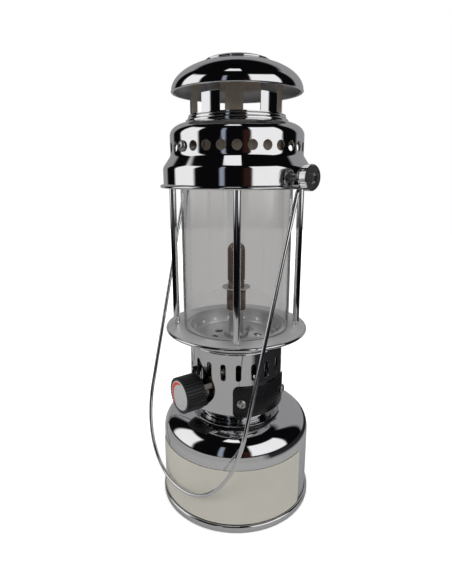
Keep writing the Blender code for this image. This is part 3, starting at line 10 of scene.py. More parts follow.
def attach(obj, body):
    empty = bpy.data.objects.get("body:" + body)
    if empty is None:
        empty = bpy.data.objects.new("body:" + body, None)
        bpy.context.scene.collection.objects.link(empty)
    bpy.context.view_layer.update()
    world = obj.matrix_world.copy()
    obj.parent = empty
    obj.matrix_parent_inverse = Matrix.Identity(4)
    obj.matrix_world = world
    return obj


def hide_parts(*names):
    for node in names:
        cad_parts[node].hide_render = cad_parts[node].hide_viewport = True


bl_info = {
    "name": "Gas lantern",
    "version": (1, 0, 0),
    "blender": (4, 5, 0),
    "location": "View3D > Sidebar > Lantern",
    "description": "Builds the pieces, finishes and studio of a gas lantern",
    "category": "Object",
}

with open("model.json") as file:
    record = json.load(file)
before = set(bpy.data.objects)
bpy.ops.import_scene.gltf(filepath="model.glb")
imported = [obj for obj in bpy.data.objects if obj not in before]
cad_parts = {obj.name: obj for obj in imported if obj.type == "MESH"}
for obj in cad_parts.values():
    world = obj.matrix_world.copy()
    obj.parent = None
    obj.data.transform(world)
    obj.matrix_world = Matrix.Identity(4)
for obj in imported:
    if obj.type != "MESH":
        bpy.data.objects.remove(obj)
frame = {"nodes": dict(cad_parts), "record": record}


# Sizes and colours

def length(label, millimetres, note):
    """A length property, given in millimetres."""
    return FloatProperty(name=label, description=note, default=millimetres / 1000, unit="LENGTH", precision=5)


def angle(label, degrees, note):
    """An angle property, given in degrees."""
    return FloatProperty(name=label, description=note, default=math.radians(degrees), subtype="ANGLE")


def count(label, total, note):
    """A whole number of like features or steps."""
    return IntProperty(name=label, description=note, default=total, min=1)


def number(label, value, note):
    """A plain number without a unit."""
    return FloatProperty(name=label, description=note, default=value, precision=4)


def colour(label, value, note):
    """A scene-linear colour."""
    return FloatVectorProperty(name=label, description=note, default=value, subtype="COLOR", min=0, max=1)


class TankSizes(PropertyGroup):
    """Tank shell, bottom pan and label."""
    turn_steps: count("Steps round", 160, "Facets round each turned piece")
    radius: length("Wall radius", 59.8, "Outer radius of the straight wall")
    wall: length("Wall", 0.9, "Thickness of the pressed shell")
    bottom: length("Shell bottom", 1.3, "Height at which the shell starts inside the rim")
    straight_top: length("Straight top", 58.3, "Height at which the shoulder starts")
    shoulder_rise: length("Shoulder rise", 20.5, "Height of the rounded shoulder")
    shoulder_inner: length("Flat radius", 31.0, "Radius of the flat top that carries the collar")
    shoulder_power: number("Shoulder fullness", 2.3, "Exponent of the shoulder's curve, 2 is a plain ellipse")
    stem_radius: length("Stem hole", 9.3, "Radius of the hole in the tank's top")
    rim_radius: length("Rim radius", 62.0, "Outer radius of the rolled rim")
    rim_height: length("Rim height", 6.2, "Height of the rolled rim")
    rim_round: length("Rim round", 1.6, "Rounding of the rolled rim")
    sheet: length("Bottom sheet", 1.0, "Thickness of the bottom pan")
    press_round: length("Press rounding", 0.4, "Rounding of the bottom pan's corners")
    ring_radius: length("Ring radius", 38.0, "Middle radius of the pressed ring under the tank")
    ring_width: length("Ring width", 16.0, "Width of the pressed ring")
    ring_rise: length("Ring rise", 1.6, "How far the pressed ring stands off the floor")
    label_inner: length("Label radius", 60.1, "Inner radius of the paper label")
    label_thickness: length("Label thickness", 0.3, "Thickness of the paper label")
    label_bottom: length("Label bottom", 7.0, "Lower edge of the label")
    label_top: length("Label top", 53.3, "Upper edge of the label")
    label_start: angle("Label start", -80, "Left edge of the label, round the axis")
    label_end: angle("Label end", 56, "Right edge of the label, round the axis")
    label_corner: length("Label corner", 2.0, "Corner radius of the label")


class HousingSizes(PropertyGroup):
    """Neck collar, slotted housing and bare plate."""
    collar_radius: length("Collar radius", 30.4, "Outer radius of the neck collar")
    collar_bottom: length("Collar bottom", 79.1, "Lower face of the neck collar")
    collar_height: length("Collar height", 4.4, "Height of the neck collar")
    collar_step: length("Collar step", 1.2, "How far the collar's upper part is set in")
    collar_bore: length("Collar bore", 10.4, "Inner radius of the neck collar")
    collar_rim: length("Collar rim", 1.4, "Height of the collar's wider foot")
    collar_slope: length("Collar slope", 0.6, "Rise from that foot to the upper part")
    radius: length("Radius", 36.9, "Outer radius of the housing")
    wall: length("Wall", 0.8, "Sheet thickness of the housing")
    bottom: length("Bottom", 83.8, "Lower face of the housing")
    height: length("Height", 51.5, "Height of the housing")
    lip: length("Lip", 6.1, "Width of the turned-in top edge")
    edge: length("Edge round", 1.3, "Rounding of the housing's pressed edges")
    slot_count: count("Slots", 20, "Slots round the housing")
    slot_width: length("Slot width", 4.2, "Width of one slot")
    slot_height: length("Slot height", 13.4, "Height of one slot")
    slot_rise: length("Slot rise", 36.1, "Middle of the slots above the housing's bottom")
    slot_start: angle("Slot start", 3, "Place of the first slot")
    opening_radius: length("Opening radius", 15.2, "Radius of the opening round the knob")
    opening_rise: length("Opening rise", 20.4, "Centre of the opening above the housing's bottom")
    opening_place: angle("Opening place", -49.5, "Place of the opening round the axis")
    opening_depth: length("Opening depth", 11.0, "How far inside the wall the opening's cutters start")
    seam_place: angle("Seam place", 4.5, "Place of the butted seam")
    seam_width: length("Seam width", 0.35, "Width of the butted seam")
    seam_rise: number("Seam rise", 0.75, "Middle of the seam, as a share of the housing's height")
    press_round: length("Press rounding", 0.4, "Rounding of the neck collar's edges")
    plate_lift: length("Plate lift", 0.4, "Gap between housing and plate")
    plate_thickness: length("Plate thickness", 0.8, "Thickness of the bent plate")
    plate_bottom: length("Plate bottom", 84.1, "Lower edge of the bent plate")
    plate_height: length("Plate height", 24.8, "Height of the bent plate")
    plate_corner: length("Plate corner", 4.2, "Corner radius of the bent plate")
    plate_edge: length("Plate edge", 0.2, "Bevel of the bent plate's edges")
    plate_centre: angle("Plate centre", 39.5, "Middle of the bent plate round the axis")
    plate_half: angle("Plate half width", 43, "Half of the angle that the plate covers")
    screw_inset: angle("Screw inset", 10, "Angle from the plate's end to its screw")
    screw_rise: length("Screw rise", 11.6, "Screw centre above the plate's lower edge")
    head_radius: length("Head radius", 3.7, "Radius of a pan head")
    head_height: length("Head height", 2.2, "Height of a pan head")
    head_power: number("Head fullness", 2.6, "Exponent of the pan head's curve, 2 is a plain ellipse")
    head_edge: length("Head edge", 0.2, "Rounding of a pan head's edges")
    shank_radius: length("Shank radius", 1.7, "Radius of a screw's shank")
    shank_length: length("Shank length", 6.0, "Length of a screw's shank")
    socket_radius: length("Socket radius", 1.4, "Radius over the corners of a hexagon socket")
    socket_depth: length("Socket depth", 1.2, "Depth of a hexagon socket")


class KnobSizes(PropertyGroup):
    """Ribbed knob with its cap."""
    place: angle("Place", -53.5, "Direction of the knob's axis")
    height: length("Axis height", 98.9, "Height of the knob's axis")
    radius: length("Radius", 14.1, "Outer radius over the ribs")
    back: length("Back", 37.8, "Distance of the grip's back from the lantern's axis")
    front: length("Front", 53.9, "Distance of the grip's front from the lantern's axis")
    rib_count: count("Ribs", 36, "Ribs round the grip")
    rib_depth: length("Rib depth", 1.2, "Depth of the grooves between the ribs")
    edge: length("Edge", 0.5, "Bevel of the grip's ends")
    cap_radius: length("Cap radius", 11.65, "Radius of the cap disc")
    cap_thickness: length("Cap thickness", 1.4, "Thickness of the cap disc")
    cap_crown: length("Cap crown", 0.5, "Slight dome of the cap disc")
    cap_edge: length("Cap edge", 0.2, "Rounding of the cap disc's edge")
    mark_start: angle("Mark start", -150, "Lower end of the red wedge, from the top of the cap")
    mark_angle: angle("Mark angle", 165, "Angle that the red wedge covers")
    mark_inset: length("Mark inset", 0.9, "Plain edge outside the red wedge")
    mark_least: length("Mark end width", 0.8, "Width of the red wedge at its ends")
    mark_swell: length("Mark swell", 2.2, "How much wider the wedge is in its middle")
    stroke_phase: angle("Stroke phase", 200, "Turn of the row of strokes round the cap")
    stroke_spacing: angle("Stroke spacing", 15, "Half of the angle from one small stroke to the next")
    stroke_half: angle("Stroke half width", 1.4, "Half of the angle that a stroke covers")
    stroke_from: angle("First stroke", 75, "Where the strokes begin, from the top of the cap")
    stroke_outer: number("Stroke outer end", 0.74, "Share of the cap's radius at which a stroke ends")
    stroke_inner: number("Stroke inner end", 0.62, "Share of the cap's radius at which a stroke starts")


class GallerySizes(PropertyGroup):
    """Gallery plate with its perforated cup, globe and rods."""
    cup_bottom: length("Cup bottom", 135.6, "Under side of the cup's floor")
    sheet: length("Sheet", 0.8, "Sheet thickness")
    cup_radius: length("Cup radius", 37.2, "Outer radius of the cup")
    cup_round: length("Cup round", 1.6, "Rounding at the cup's floor")
    top: length("Plate top", 147.0, "Upper face of the plate")
    lip_rise: length("Lip rise", 0.6, "Height of the lip round the globe's foot")
    lip_width: length("Lip width", 1.4, "Width of the lip")
    radius: length("Radius", 55.7, "Outer radius of the plate")
    roll: length("Roll", 1.4, "Radius of the rolled edge")
    tube_radius: length("Tube hole", 6.1, "Radius of the hole for the burner tube")
    cup_hole_count: count("Cup holes", 18, "Small holes round the cup's wall")
    cup_hole_radius: length("Cup hole radius", 1.5, "Radius of a hole in the cup's wall")
    cup_hole_rise: length("Cup hole rise", 3.6, "Height of those holes above the floor")
    cup_hole_start: angle("Cup hole start", 10, "Place of the first hole in the cup's wall")
    floor_circle: length("Floor circle", 18.0, "Radius on which the floor's holes lie")
    floor_hole_radius: length("Floor hole radius", 3.5, "Radius of a hole in the floor")
    floor_places: count("Floor places", 8, "Places on the floor's circle, two of which take screws")
    floor_start: angle("Floor start", 8, "Place of the first hole in the floor")
    globe_inner: length("Globe bore", 39.8, "Inner radius of the globe")
    globe_wall: length("Globe wall", 1.8, "Thickness of the glass")
    globe_bottom: length("Globe bottom", 147.3, "Foot of the globe")
    globe_top: length("Globe top", 260.0, "Top edge of the globe")
    globe_round: length("Globe rounding", 0.6, "Rounding of the glass edges")
    rod_count: count("Rods", 4, "Rods round the globe")
    rod_start: angle("Rod start", 0.5, "Place of the front rod")
    rod_circle: length("Rod circle", 47.7, "Radius on which the rods stand")
    rod_radius: length("Rod radius", 2.5, "Radius of a rod")
    rod_bottom: length("Rod bottom", 147.3, "Foot of the rods")
    rod_top: length("Rod top", 255.3, "Top of the rods")
    rod_round: length("Rod rounding", 0.4, "Rounding of the rods' ends")


class HoodSizes(PropertyGroup):
    """Pressed hood, flue screws, chimney collar and dome."""
    sheet: length("Sheet", 0.8, "Sheet thickness")
    bottom: length("Bottom", 253.3, "Lower edge of the hood")
    bead_radius: length("Bead radius", 56.2, "Outer radius of the bead")
    bead_height: length("Bead height", 2.1, "Height of the bead")
    bead_ease: length("Bead ease", 0.6, "Run from the bead into the band")
    band_radius: length("Band radius", 53.7, "Radius of the lower band")
    step_bottom: length("Step bottom", 267.3, "Height at which the step starts")
    step_round: length("Step rounding", 1.2, "Rounding where the step meets the bands")
    step_run: length("Step run", 3.0, "Straight run of the bands beside the step")
    upper_bottom: length("Step top", 275.4, "Height at which the upper band starts")
    upper_radius: length("Upper radius", 48.2, "Radius of the pierced band")
    crown_bottom: length("Crown bottom", 289.0, "Height at which the crown starts")
    crown_width: length("Crown width", 13.8, "Inward reach of the crown's full quarter")
    crown_rise: length("Crown rise", 8.9, "Rise of the crown's full quarter")
    crown_end: angle("Crown end", 74, "Part of the quarter that the crown uses")
    roll_count: count("Rolls", 2, "Shallow rolls below the neck")
    roll_radius: length("Roll radius", 36.7, "Outer radius of the lowest roll")
    roll_foot: length("Roll foot", 298.0, "Height at which the lowest roll starts")
    roll_height: length("Roll height", 1.8, "Height of a roll")
    roll_round: length("Roll rounding", 1.0, "Rounding of a roll's upper edge")
    roll_step: length("Roll step", 1.6, "How far each next roll is set in")
    roll_lift: length("Roll lift", 2.25, "How far each next roll stands above the one before")
    top: length("Top", 302.76, "Height of the neck's rim")
    neck_radius: length("Neck radius", 34.6, "Outer radius of the neck")
    neck_height: length("Neck height", 0.9, "Height of the neck's straight rim")
    hole_count: count("Holes", 30, "Holes round the upper band")
    hole_radius: length("Hole radius", 3.35, "Radius of a hole")
    hole_height: length("Hole height", 281.0, "Height of the holes' centres")
    hole_start: angle("Hole start", -48, "Place of the first hole")
    screw_every: count("Screw spacing", 15, "Every so many places a screw takes a hole's place")
    screw_hole: length("Screw hole", 2.0, "Radius of the hole for a screw")
    chimney_radius: length("Chimney radius", 33.5, "Outer radius of the windowed collar")
    chimney_bottom: length("Chimney bottom", 300.56, "Foot of the windowed collar")
    chimney_edge: length("Chimney edge", 0.25, "Rounding of the windowed collar's edges")
    window_count: count("Windows", 5, "Windows in the collar")
    window_start: angle("Window start", 4, "Middle of the first window")
    window_angle: angle("Window width", 47, "Angle that a window covers")
    window_bottom: length("Window bottom", 303.16, "Lower edge of the windows")
    window_top: length("Window top", 324.26, "Upper edge of the windows")
    dome_radius: length("Dome radius", 46.3, "Outer radius of the dome")
    dome_eave: length("Dome eave", 318.26, "Height of the dome's edge")
    dome_rise: length("Dome rise", 21.5, "Height of the dome above its edge")
    dome_roll: length("Dome roll", 0.9, "Size of the roll along the dome's edge")
    dome_swell: length("Dome swell", 0.3, "How far the roll stands out past the dome")
    dome_power: number("Dome fullness", 2.05, "Exponent of the dome's curve, 2 is a plain ellipse")
    cap_radius: length("Cap radius", 23.0, "Radius of the cap on the dome")
    cap_rise: length("Cap rise", 2.1, "Height of the cap above the dome")
    cap_sheet: length("Cap sheet", 0.7, "Sheet thickness of the cap")


class HandleSizes(PropertyGroup):
    """Bent wire handle and its thumb nuts."""
    place: angle("Place", 45, "Direction of the handle's axis")
    pivot: length("Pivot height", 260.8, "Height of the handle's axis")
    wire: length("Wire radius", 1.43, "Radius of the wire")
    half_width: length("Half width", 58.5, "Half of the width at the eyes")
    arc_width: length("Arc half width", 54.6, "Half of the width where the arc starts")
    leg: length("Leg", 174.0, "Length of the legs")
    arc_height: length("Arc height", 68.7, "Height of the closing arc")
    arc_power: number("Arc fullness", 2.1, "Exponent of the arc, 2 is a plain ellipse")
    tilt: angle("Tilt", 14.848, "How far the handle hangs forward of plumb")
    eye_radius: length("Eye radius", 4.3, "Radius of the eye's centre line")
    eye_neck: length("Eye neck", 10.5, "Length over which the eye runs into the leg")
    eye_start: angle("Eye start", -242, "Where the eye's turn starts")
    eye_pitch: length("Eye pitch", 3.1, "How far a full turn of the eye runs outward")
    eye_end: angle("Eye end", 118, "Where the eye's turn ends")
    nut_radius: length("Nut radius", 8.4, "Outer radius over the knurl")
    nut_bottom: length("Nut bottom", 63.4, "Inner face of a thumb nut, from the axis")
    nut_thickness: length("Nut thickness", 5.1, "Thickness of a thumb nut")
    nut_ribs: count("Nut ribs", 48, "Ridges of the knurl")
    nut_depth: length("Knurl depth", 0.3, "Depth of the knurl")
    nut_edge: length("Nut edge", 0.7, "Bevel of a thumb nut's faces")
    recess_radius: length("Recess radius", 3.9, "Radius of the recess in a nut's face")
    recess_depth: length("Recess depth", 1.7, "Depth of that recess")
    bore: length("Bore", 2.85, "Radius of the nut's bore")


class Finishes(PropertyGroup):
    """Colours of the finishes."""
    chrome: colour("Plating", (0.80, 0.80, 0.81), "Bright plating")
    steel: colour("Steel", (0.84, 0.77, 0.68), "Dull steel of the flue")
    steel_heat: colour("Heat tint", (0.60, 0.50, 0.40), "Brown tint that heat leaves")
    dull: colour("Dull inside", (0.78, 0.71, 0.63), "Unplated inner sides of hood and chimney")
    satin: colour("Satin inside", (0.60, 0.60, 0.61), "Thin plating of inner sides and the gallery")
    zinc: colour("Zinc", (0.60, 0.60, 0.58), "Satin zinc of screws and nuts")
    # The brass colour is set far darker than machined brass: painted shade for the valve parts that sit in
    # the dark inside the housing
    brass: colour("Brass", (0.16, 0.11, 0.06), "Machined brass, darkened by use")
    burner: colour("Burner metal", (0.13, 0.088, 0.064), "Metal browned by the flame")
    knob: colour("Grip", (0.008, 0.008, 0.009), "Black moulding of the grip")
    cap: colour("Cap", (0.50, 0.50, 0.505), "Pale moulding of the cap")
    cap_mark: colour("Cap mark", (0.62, 0.055, 0.03), "Red wedge round the cap")
    enamel: colour("Plate", (0.007, 0.007, 0.008), "Satin black plate")
    paper: colour("Paper", (0.60, 0.575, 0.51), "Cream paper of the label")
    rubber: colour("Rubber", (0.02, 0.02, 0.02), "Black seal")
    glass: colour("Glass", (0.985, 0.982, 0.98), "Clear glass")


class StudioSettings(PropertyGroup):
    """Floor, surroundings, lamps and camera."""
    image_width: number("Image width", 452, "Width of the photograph in pixels")
    image_height: number("Image height", 584, "Height of the photograph in pixels")
    focal: number("Focal length", 450.9, "Focal length of the fitted camera in pixels")
    camera_back: length("Camera distance", 343.85, "Distance of the camera in front of the axis")
    camera_height: length("Camera height", 264.93, "Height of the camera above the floor")
    pitch: angle("Pitch", 15.01, "How far the camera looks down")
    yaw: angle("Yaw", -1.3465, "How far the camera looks to the side")
    roll: angle("Roll", -0.11, "Turn of the camera about its view")
    floor: colour("Floor", (0.86, 0.86, 0.86), "Plain pale floor")
    floor_near: colour("Floor close by", (0.33, 0.33, 0.33), "Tone that plating mirrors beside the lantern")
    floor_light: colour("Light floor", (0.29, 0.29, 0.285), "Tone that plating mirrors on the lit side")
    floor_dark: colour("Dark floor", (0.016, 0.016, 0.018), "Tone that plating mirrors on the dark side")
    floor_rear: colour("Rear floor", (0.33, 0.33, 0.33), "Tone that plating mirrors behind the lantern")
    floor_near_edge: length("Close floor edge", 170, "Distance up to which the floor has one tone")
    floor_near_blend: number("Close floor blend", 0.15, "Share of that distance over which the tone changes")
    floor_edge: length("Table edge", 550, "Distance at which reflections see the table end")
    floor_lift: number("Floor lift", 0.35, "Light that brings the floor to white for the camera")
    backdrop: colour("Backdrop", (0.43, 0.425, 0.42), "Tone of the backdrop behind the glass")
    floor_radius: length("Floor radius", 1800, "Radius of the floor")
    floor_drop: length("Floor drop", 0.2, "How far the floor lies below the lantern's base")
    floor_mirror_soft: number("Floor blend", 12, "Degrees over which one mirrored tone runs into the next")
    tent_radius: length("Tent radius", 2400, "Distance of the dark cards and white panels")
    tent_height: length("Tent height", 200, "Height of the tent's middle above the floor")
    dark_room: colour("Dark room", (0.003, 0.003, 0.0035), "Tone of the tent between its cards and panels")
    aim_height: length("Aim height", 170, "Height that the lamps point at")
    sensor: number("Sensor", 36, "Width of the camera's sensor in millimetres")
    world_level: number("World level", 0.62, "Light of the surroundings on the object")


GROUPS = {
    "lantern_tank": TankSizes,
    "lantern_housing": HousingSizes,
    "lantern_knob": KnobSizes,
    "lantern_gallery": GallerySizes,
    "lantern_hood": HoodSizes,
    "lantern_handle": HandleSizes,
    "lantern_finish": Finishes,
    "lantern_studio": StudioSettings,
}


# Drawing and shaping

# A right angle, and the degrees in a radian
QUARTER = math.radians(90)
DEGREES = 180 / math.pi
# Gap between pieces that touch on the real lantern
GAP = 0.0003
# How far a cutter reaches past what it cuts
SPARE = 0.001
# How far a chamfer's cutter starts above the face
TRIM_LIFT = 0.0001
# What a slot's end radius stays below half of its width
HAIR = 0.00001
# Shortest side of an outline that counts as one
SHORTEST = 1e-9
# Corners flatter than this are left as they are
FLAT_CORNER = math.radians(150)
# Most that the rounding of a corner takes of a side
CORNER_SHARE = 0.45
# Facets round small turned pieces, and round the knob
SMALL_STEPS = 48
ROUND_STEPS = 96
# Points of the handle's route along an eye, and along each part of a leg
EYE_STEPS = 36
LEG_STEPS = 12
# Slots from the first one back to the slot that runs into the knob's opening
FLARED_SLOT = 3
# Angles in degrees at which that run meets the opening's rim
FLARE_FOOT = (-12, -5, 2, 8)
# Places on the gallery floor's circle that take screws
SCREW_PLACES = (3, 7)


def places(start, total):
    """Azimuths of like features, evenly spaced."""
    return [start + math.tau * index / total for index in range(total)]


def around(azimuth, radius, height=0.0):
    """The point at an azimuth from the front, a radius and a height."""
    return Vector((radius * math.sin(azimuth), -radius * math.cos(azimuth), height))


def facing(azimuth):
    """Turn that points a piece's own Z outward at an azimuth."""
    return (QUARTER, 0, azimuth)


def arc(centre_radius, centre_height, width, rise, start, end, steps, power=2.0):
    """Points on part of an ellipse, or of a fuller curve with a higher power."""
    points = []
    for step in range(steps + 1):
        turn = start + (end - start) * step / steps
        cosine, sine = math.cos(turn), math.sin(turn)
        points.append((
            centre_radius + width * math.copysign(abs(cosine) ** (2 / power), cosine),
            centre_height + rise * math.copysign(abs(sine) ** (2 / power), sine),
        ))
    return points


def bend(centre_radius, centre_height, size, start, end, steps):
    """Points on part of a circle, from one angle in degrees to another."""
    return arc(centre_radius, centre_height, size, size, math.radians(start), math.radians(end), steps)


def eased(start, end, steps):
    """Points on an S-shaped step from one point to another."""
    points = []
    for step in range(steps + 1):
        share = step / steps
        ease = (1 - math.cos(math.pi * share)) / 2
        points.append((start[0] + (end[0] - start[0]) * ease, start[1] + (end[1] - start[1]) * share))
    return points


def softened(points, size, steps=3, closed=True):
    """The outline with each sharp corner replaced by a short curve."""
    out = []
    total = len(points)
    for index, point in enumerate(points):
        if not closed and index in (0, total - 1):
            out.append(point)
            continue
        here = Vector(point)
        back = Vector(points[index - 1]) - here
        ahead = Vector(points[(index + 1) % total]) - here
        if min(back.length, ahead.length) < SHORTEST or back.angle(ahead) > FLAT_CORNER:
            out.append(point)
            continue
        reach = min(size, back.length * CORNER_SHARE, ahead.length * CORNER_SHARE)
        first = here + back.normalized() * reach
        last = here + ahead.normalized() * reach
        for step in range(steps + 1):
            share = step / steps
            spot = first * (1 - share) ** 2 + here * 2 * share * (1 - share) + last * share ** 2
            out.append((spot.x, spot.y))
    return out


def begin(name):
    """Starts a piece as one point at the origin, in edit mode."""
    bpy.ops.object.select_all(action="DESELECT")
    bpy.ops.mesh.primitive_plane_add(size=SPARE, location=(0, 0, 0))
    piece = bpy.context.active_object
    piece.name = name
    piece.data.name = name
    bpy.ops.object.mode_set(mode="EDIT")
    bpy.ops.mesh.select_all(action="SELECT")
    bpy.ops.mesh.merge(type="CENTER")
    return piece


def trace(spots):
    """Runs a chain of points from the one that is being edited."""
    bpy.ops.transform.translate(value=spots[0])
    for here, there in zip(spots, spots[1:]):
        bpy.ops.mesh.extrude_vertices_move(TRANSFORM_OT_translate={"value": there - here})


def draw(name, points, closed=True, upright=True):
    """Draws an outline point by point, across and up, and stays in edit mode."""
    piece = begin(name)
    trace([Vector((x, 0, y)) if upright else Vector((x, y, 0)) for x, y in points])
    bpy.ops.mesh.select_all(action="SELECT")
    if closed:
        bpy.ops.mesh.edge_face_add()
    return piece


def settle(threshold=0.0000005):
    """Merges doubled points, makes the faces point outward and leaves edit mode."""
    bpy.ops.mesh.select_all(action="SELECT")
    bpy.ops.mesh.remove_doubles(threshold=threshold)
    bpy.ops.mesh.normals_make_consistent(inside=False)
    bpy.ops.object.mode_set(mode="OBJECT")


def held(points, closed, margin=0.0003, least=6):
    """The outline with a point near each end of a long straight run, which keeps its shading straight."""
    out = []
    ends = points[1:] + (points[:1] if closed else [])
    for here, there in zip(points, ends):
        out.append(here)
        reach = math.dist(here, there)
        if reach > least * margin:
            for share in (margin / reach, 1 - margin / reach):
                out.append(tuple(near + (far - near) * share for near, far in zip(here, there)))
    return out if closed else out + points[-1:]


def turned(name, points, steps, closed=True):
    """A piece turned about the lantern's axis from its half section."""
    piece = draw(name, held(points, closed), closed)
    if closed:
        bpy.ops.mesh.delete(type="ONLY_FACE")
        bpy.ops.mesh.select_all(action="SELECT")
    bpy.ops.mesh.spin(steps=steps, angle=math.tau, center=(0, 0, 0), axis=(0, 0, 1))
    settle()
    return piece


def solid(name, points, rounding, steps):
    """A turned piece that is solid at the axis, with softened corners."""
    return turned(name, softened(points, rounding, closed=False), steps, closed=False)


def raised(name, points, bottom, top):
    """A prism with a flat outline."""
    piece = draw(name, points, upright=False)
    bpy.ops.transform.translate(value=(0, 0, bottom))
    bpy.ops.mesh.extrude_region_move(TRANSFORM_OT_translate={"value": (0, 0, top - bottom)})
    settle()
    return piece


def set_down(piece, location=(0, 0, 0), rotation=(0, 0, 0)):
    """Moves and turns a piece, then takes the place into its mesh."""
    pick(piece)
    piece.location = location
    piece.rotation_euler = rotation
    bpy.ops.object.transform_apply(location=True, rotation=True, scale=True)
    return piece


def pick(*pieces):
    """Selects just these pieces; the first is the active one."""
    if bpy.context.object and bpy.context.object.mode != "OBJECT":
        bpy.ops.object.mode_set(mode="OBJECT")
    bpy.ops.object.select_all(action="DESELECT")
    for piece in pieces:
        piece.select_set(True)
    bpy.context.view_layer.objects.active = pieces[0]


def copied(piece, name):
    """A copy of a piece with a mesh of its own."""
    pick(piece)
    bpy.ops.object.duplicate()
    twin = bpy.context.active_object
    twin.name = name
    twin.data.name = name
    return twin


def apply_modifier(piece, kind, **settings):
    """Adds a modifier with these settings and applies it."""
    pick(piece)
    modifier = piece.modifiers.new(kind.lower(), kind)
    for key, value in settings.items():
        setattr(modifier, key, value)
    bpy.ops.object.modifier_apply(modifier=modifier.name)


def cut(piece, cutters):
    """Cuts all the cutters out of a piece at once."""
    pick(*cutters)
    if len(cutters) > 1:
        bpy.ops.object.join()
    tool = bpy.context.active_object
    apply_modifier(piece, "BOOLEAN", object=tool, operation="DIFFERENCE", solver="EXACT")
    bpy.data.objects.remove(tool)


def rounded_edges(piece, width, segments=2, limit=35):
    """Bevels the piece's sharp edges."""
    apply_modifier(
        piece, "BEVEL", width=width, segments=segments, limit_method="ANGLE",
        angle_limit=math.radians(limit), harden_normals=False, use_clamp_overlap=True,
    )


def smooth(piece, limit=32):
    """Smooth shading up to an angle."""
    pick(piece)
    bpy.ops.object.shade_smooth_by_angle(angle=math.radians(limit))


def peg(radius, near, far, location, azimuth, vertices):
    """A round cutter that runs outward at an azimuth."""
    spot = Vector(location) + around(azimuth, (near + far) / 2)
    bpy.ops.mesh.primitive_cylinder_add(
        vertices=vertices, radius=radius, depth=far - near, location=spot, rotation=facing(azimuth),
    )
    bpy.ops.object.transform_apply(location=True, rotation=True, scale=True)
    return bpy.context.active_object


def post(radius, bottom, top, vertices=SMALL_STEPS, spot=(0.0, 0.0)):
    """An upright round or many-sided cutter between two heights."""
    bpy.ops.object.select_all(action="DESELECT")
    bpy.ops.mesh.primitive_cylinder_add(
        vertices=vertices, radius=radius, depth=top - bottom, location=(*spot, (bottom + top) / 2),
    )
    bpy.ops.object.transform_apply(location=True)
    return bpy.context.active_object


def ribbed(radius, depth, total, steps=8, land=0.5, fullness=1.5):
    """Outline of a grip with rounded grooves between its ribs."""
    points = []
    for rib in range(total):
        for step in range(steps):
            share = step / steps
            dip = 0.0
            if share >= land:
                dip = min(1.0, fullness * math.sin(math.pi * (share - land) / (1 - land)))
            turn = math.tau * (rib + share) / total
            reach = radius - depth * dip
            points.append((reach * math.cos(turn), reach * math.sin(turn)))
    return points


def rounded_box(width, height, corner, steps=6):
    """Outline of a rectangle with round corners, centred."""
    points = []
    for quarter, (side, up) in enumerate(((1, 1), (-1, 1), (-1, -1), (1, -1))):
        for step in range(steps + 1):
            turn = QUARTER * (quarter + step / steps)
            points.append((
                side * (width / 2 - corner) + corner * math.cos(turn),
                up * (height / 2 - corner) + corner * math.sin(turn),
            ))
    return points


def bent_sheet(name, inner, thickness, bottom, top, start, end, corner, columns):
    """A sheet bent round the axis, with rounded corners."""
    outer = inner + thickness
    piece = draw(name, [(inner, bottom), (outer, bottom), (outer, top), (inner, top)])
    bpy.ops.mesh.spin(steps=columns, angle=start - end, center=(0, 0, 0), axis=(0, 0, 1))
    settle()
    set_down(piece, rotation=(0, 0, start - QUARTER))
    if corner:
        cut(piece, [
            corner_block(inner - 2 * SPARE, outer + 2 * SPARE, place, side, height, up, corner)
            for place, side in ((start, -1), (end, 1)) for height, up in ((bottom, -1), (top, 1))
        ])
    return piece


def corner_block(near, far, place, side, height, up, corner, steps=12):
    """A cutter that takes off one corner of a bent sheet to a quarter round."""
    outline = [(-side * corner, up * SPARE), (side * SPARE, up * SPARE), (side * SPARE, -up * corner)]
    for step in range(steps + 1):
        turn = QUARTER * step / steps
        outline.append((side * corner * (math.cos(turn) - 1), up * corner * (math.sin(turn) - 1)))
    return set_down(raised("corner", outline, near, far), (0, 0, height), facing(place))


# Finishes

class Signal:
    """A value in a shader that can be added, multiplied and compared."""

    def __init__(self, shader, socket):
        self.shader = shader
        self.socket = socket

    def math(self, operation, *others):
        """This value taken through a Math node."""
        return self.shader.math(operation, self, *others)

    def __add__(self, other):
        return self.math("ADD", other)

    def __radd__(self, other):
        return self.math("ADD", other)

    def __sub__(self, other):
        return self.math("SUBTRACT", other)

    def __rsub__(self, other):
        return self.shader.math("SUBTRACT", other, self)

    def __mul__(self, other):
        return self.math("MULTIPLY", other)

    def __rmul__(self, other):
        return self.math("MULTIPLY", other)

    def __truediv__(self, other):
        return self.math("DIVIDE", other)

    def __gt__(self, other):
        return self.math("GREATER_THAN", other)

    def __lt__(self, other):
        return self.math("LESS_THAN", other)

    def clamped(self):
        """This value kept between zero and one."""
        return self.math("MINIMUM", 1.0).math("MAXIMUM", 0.0)


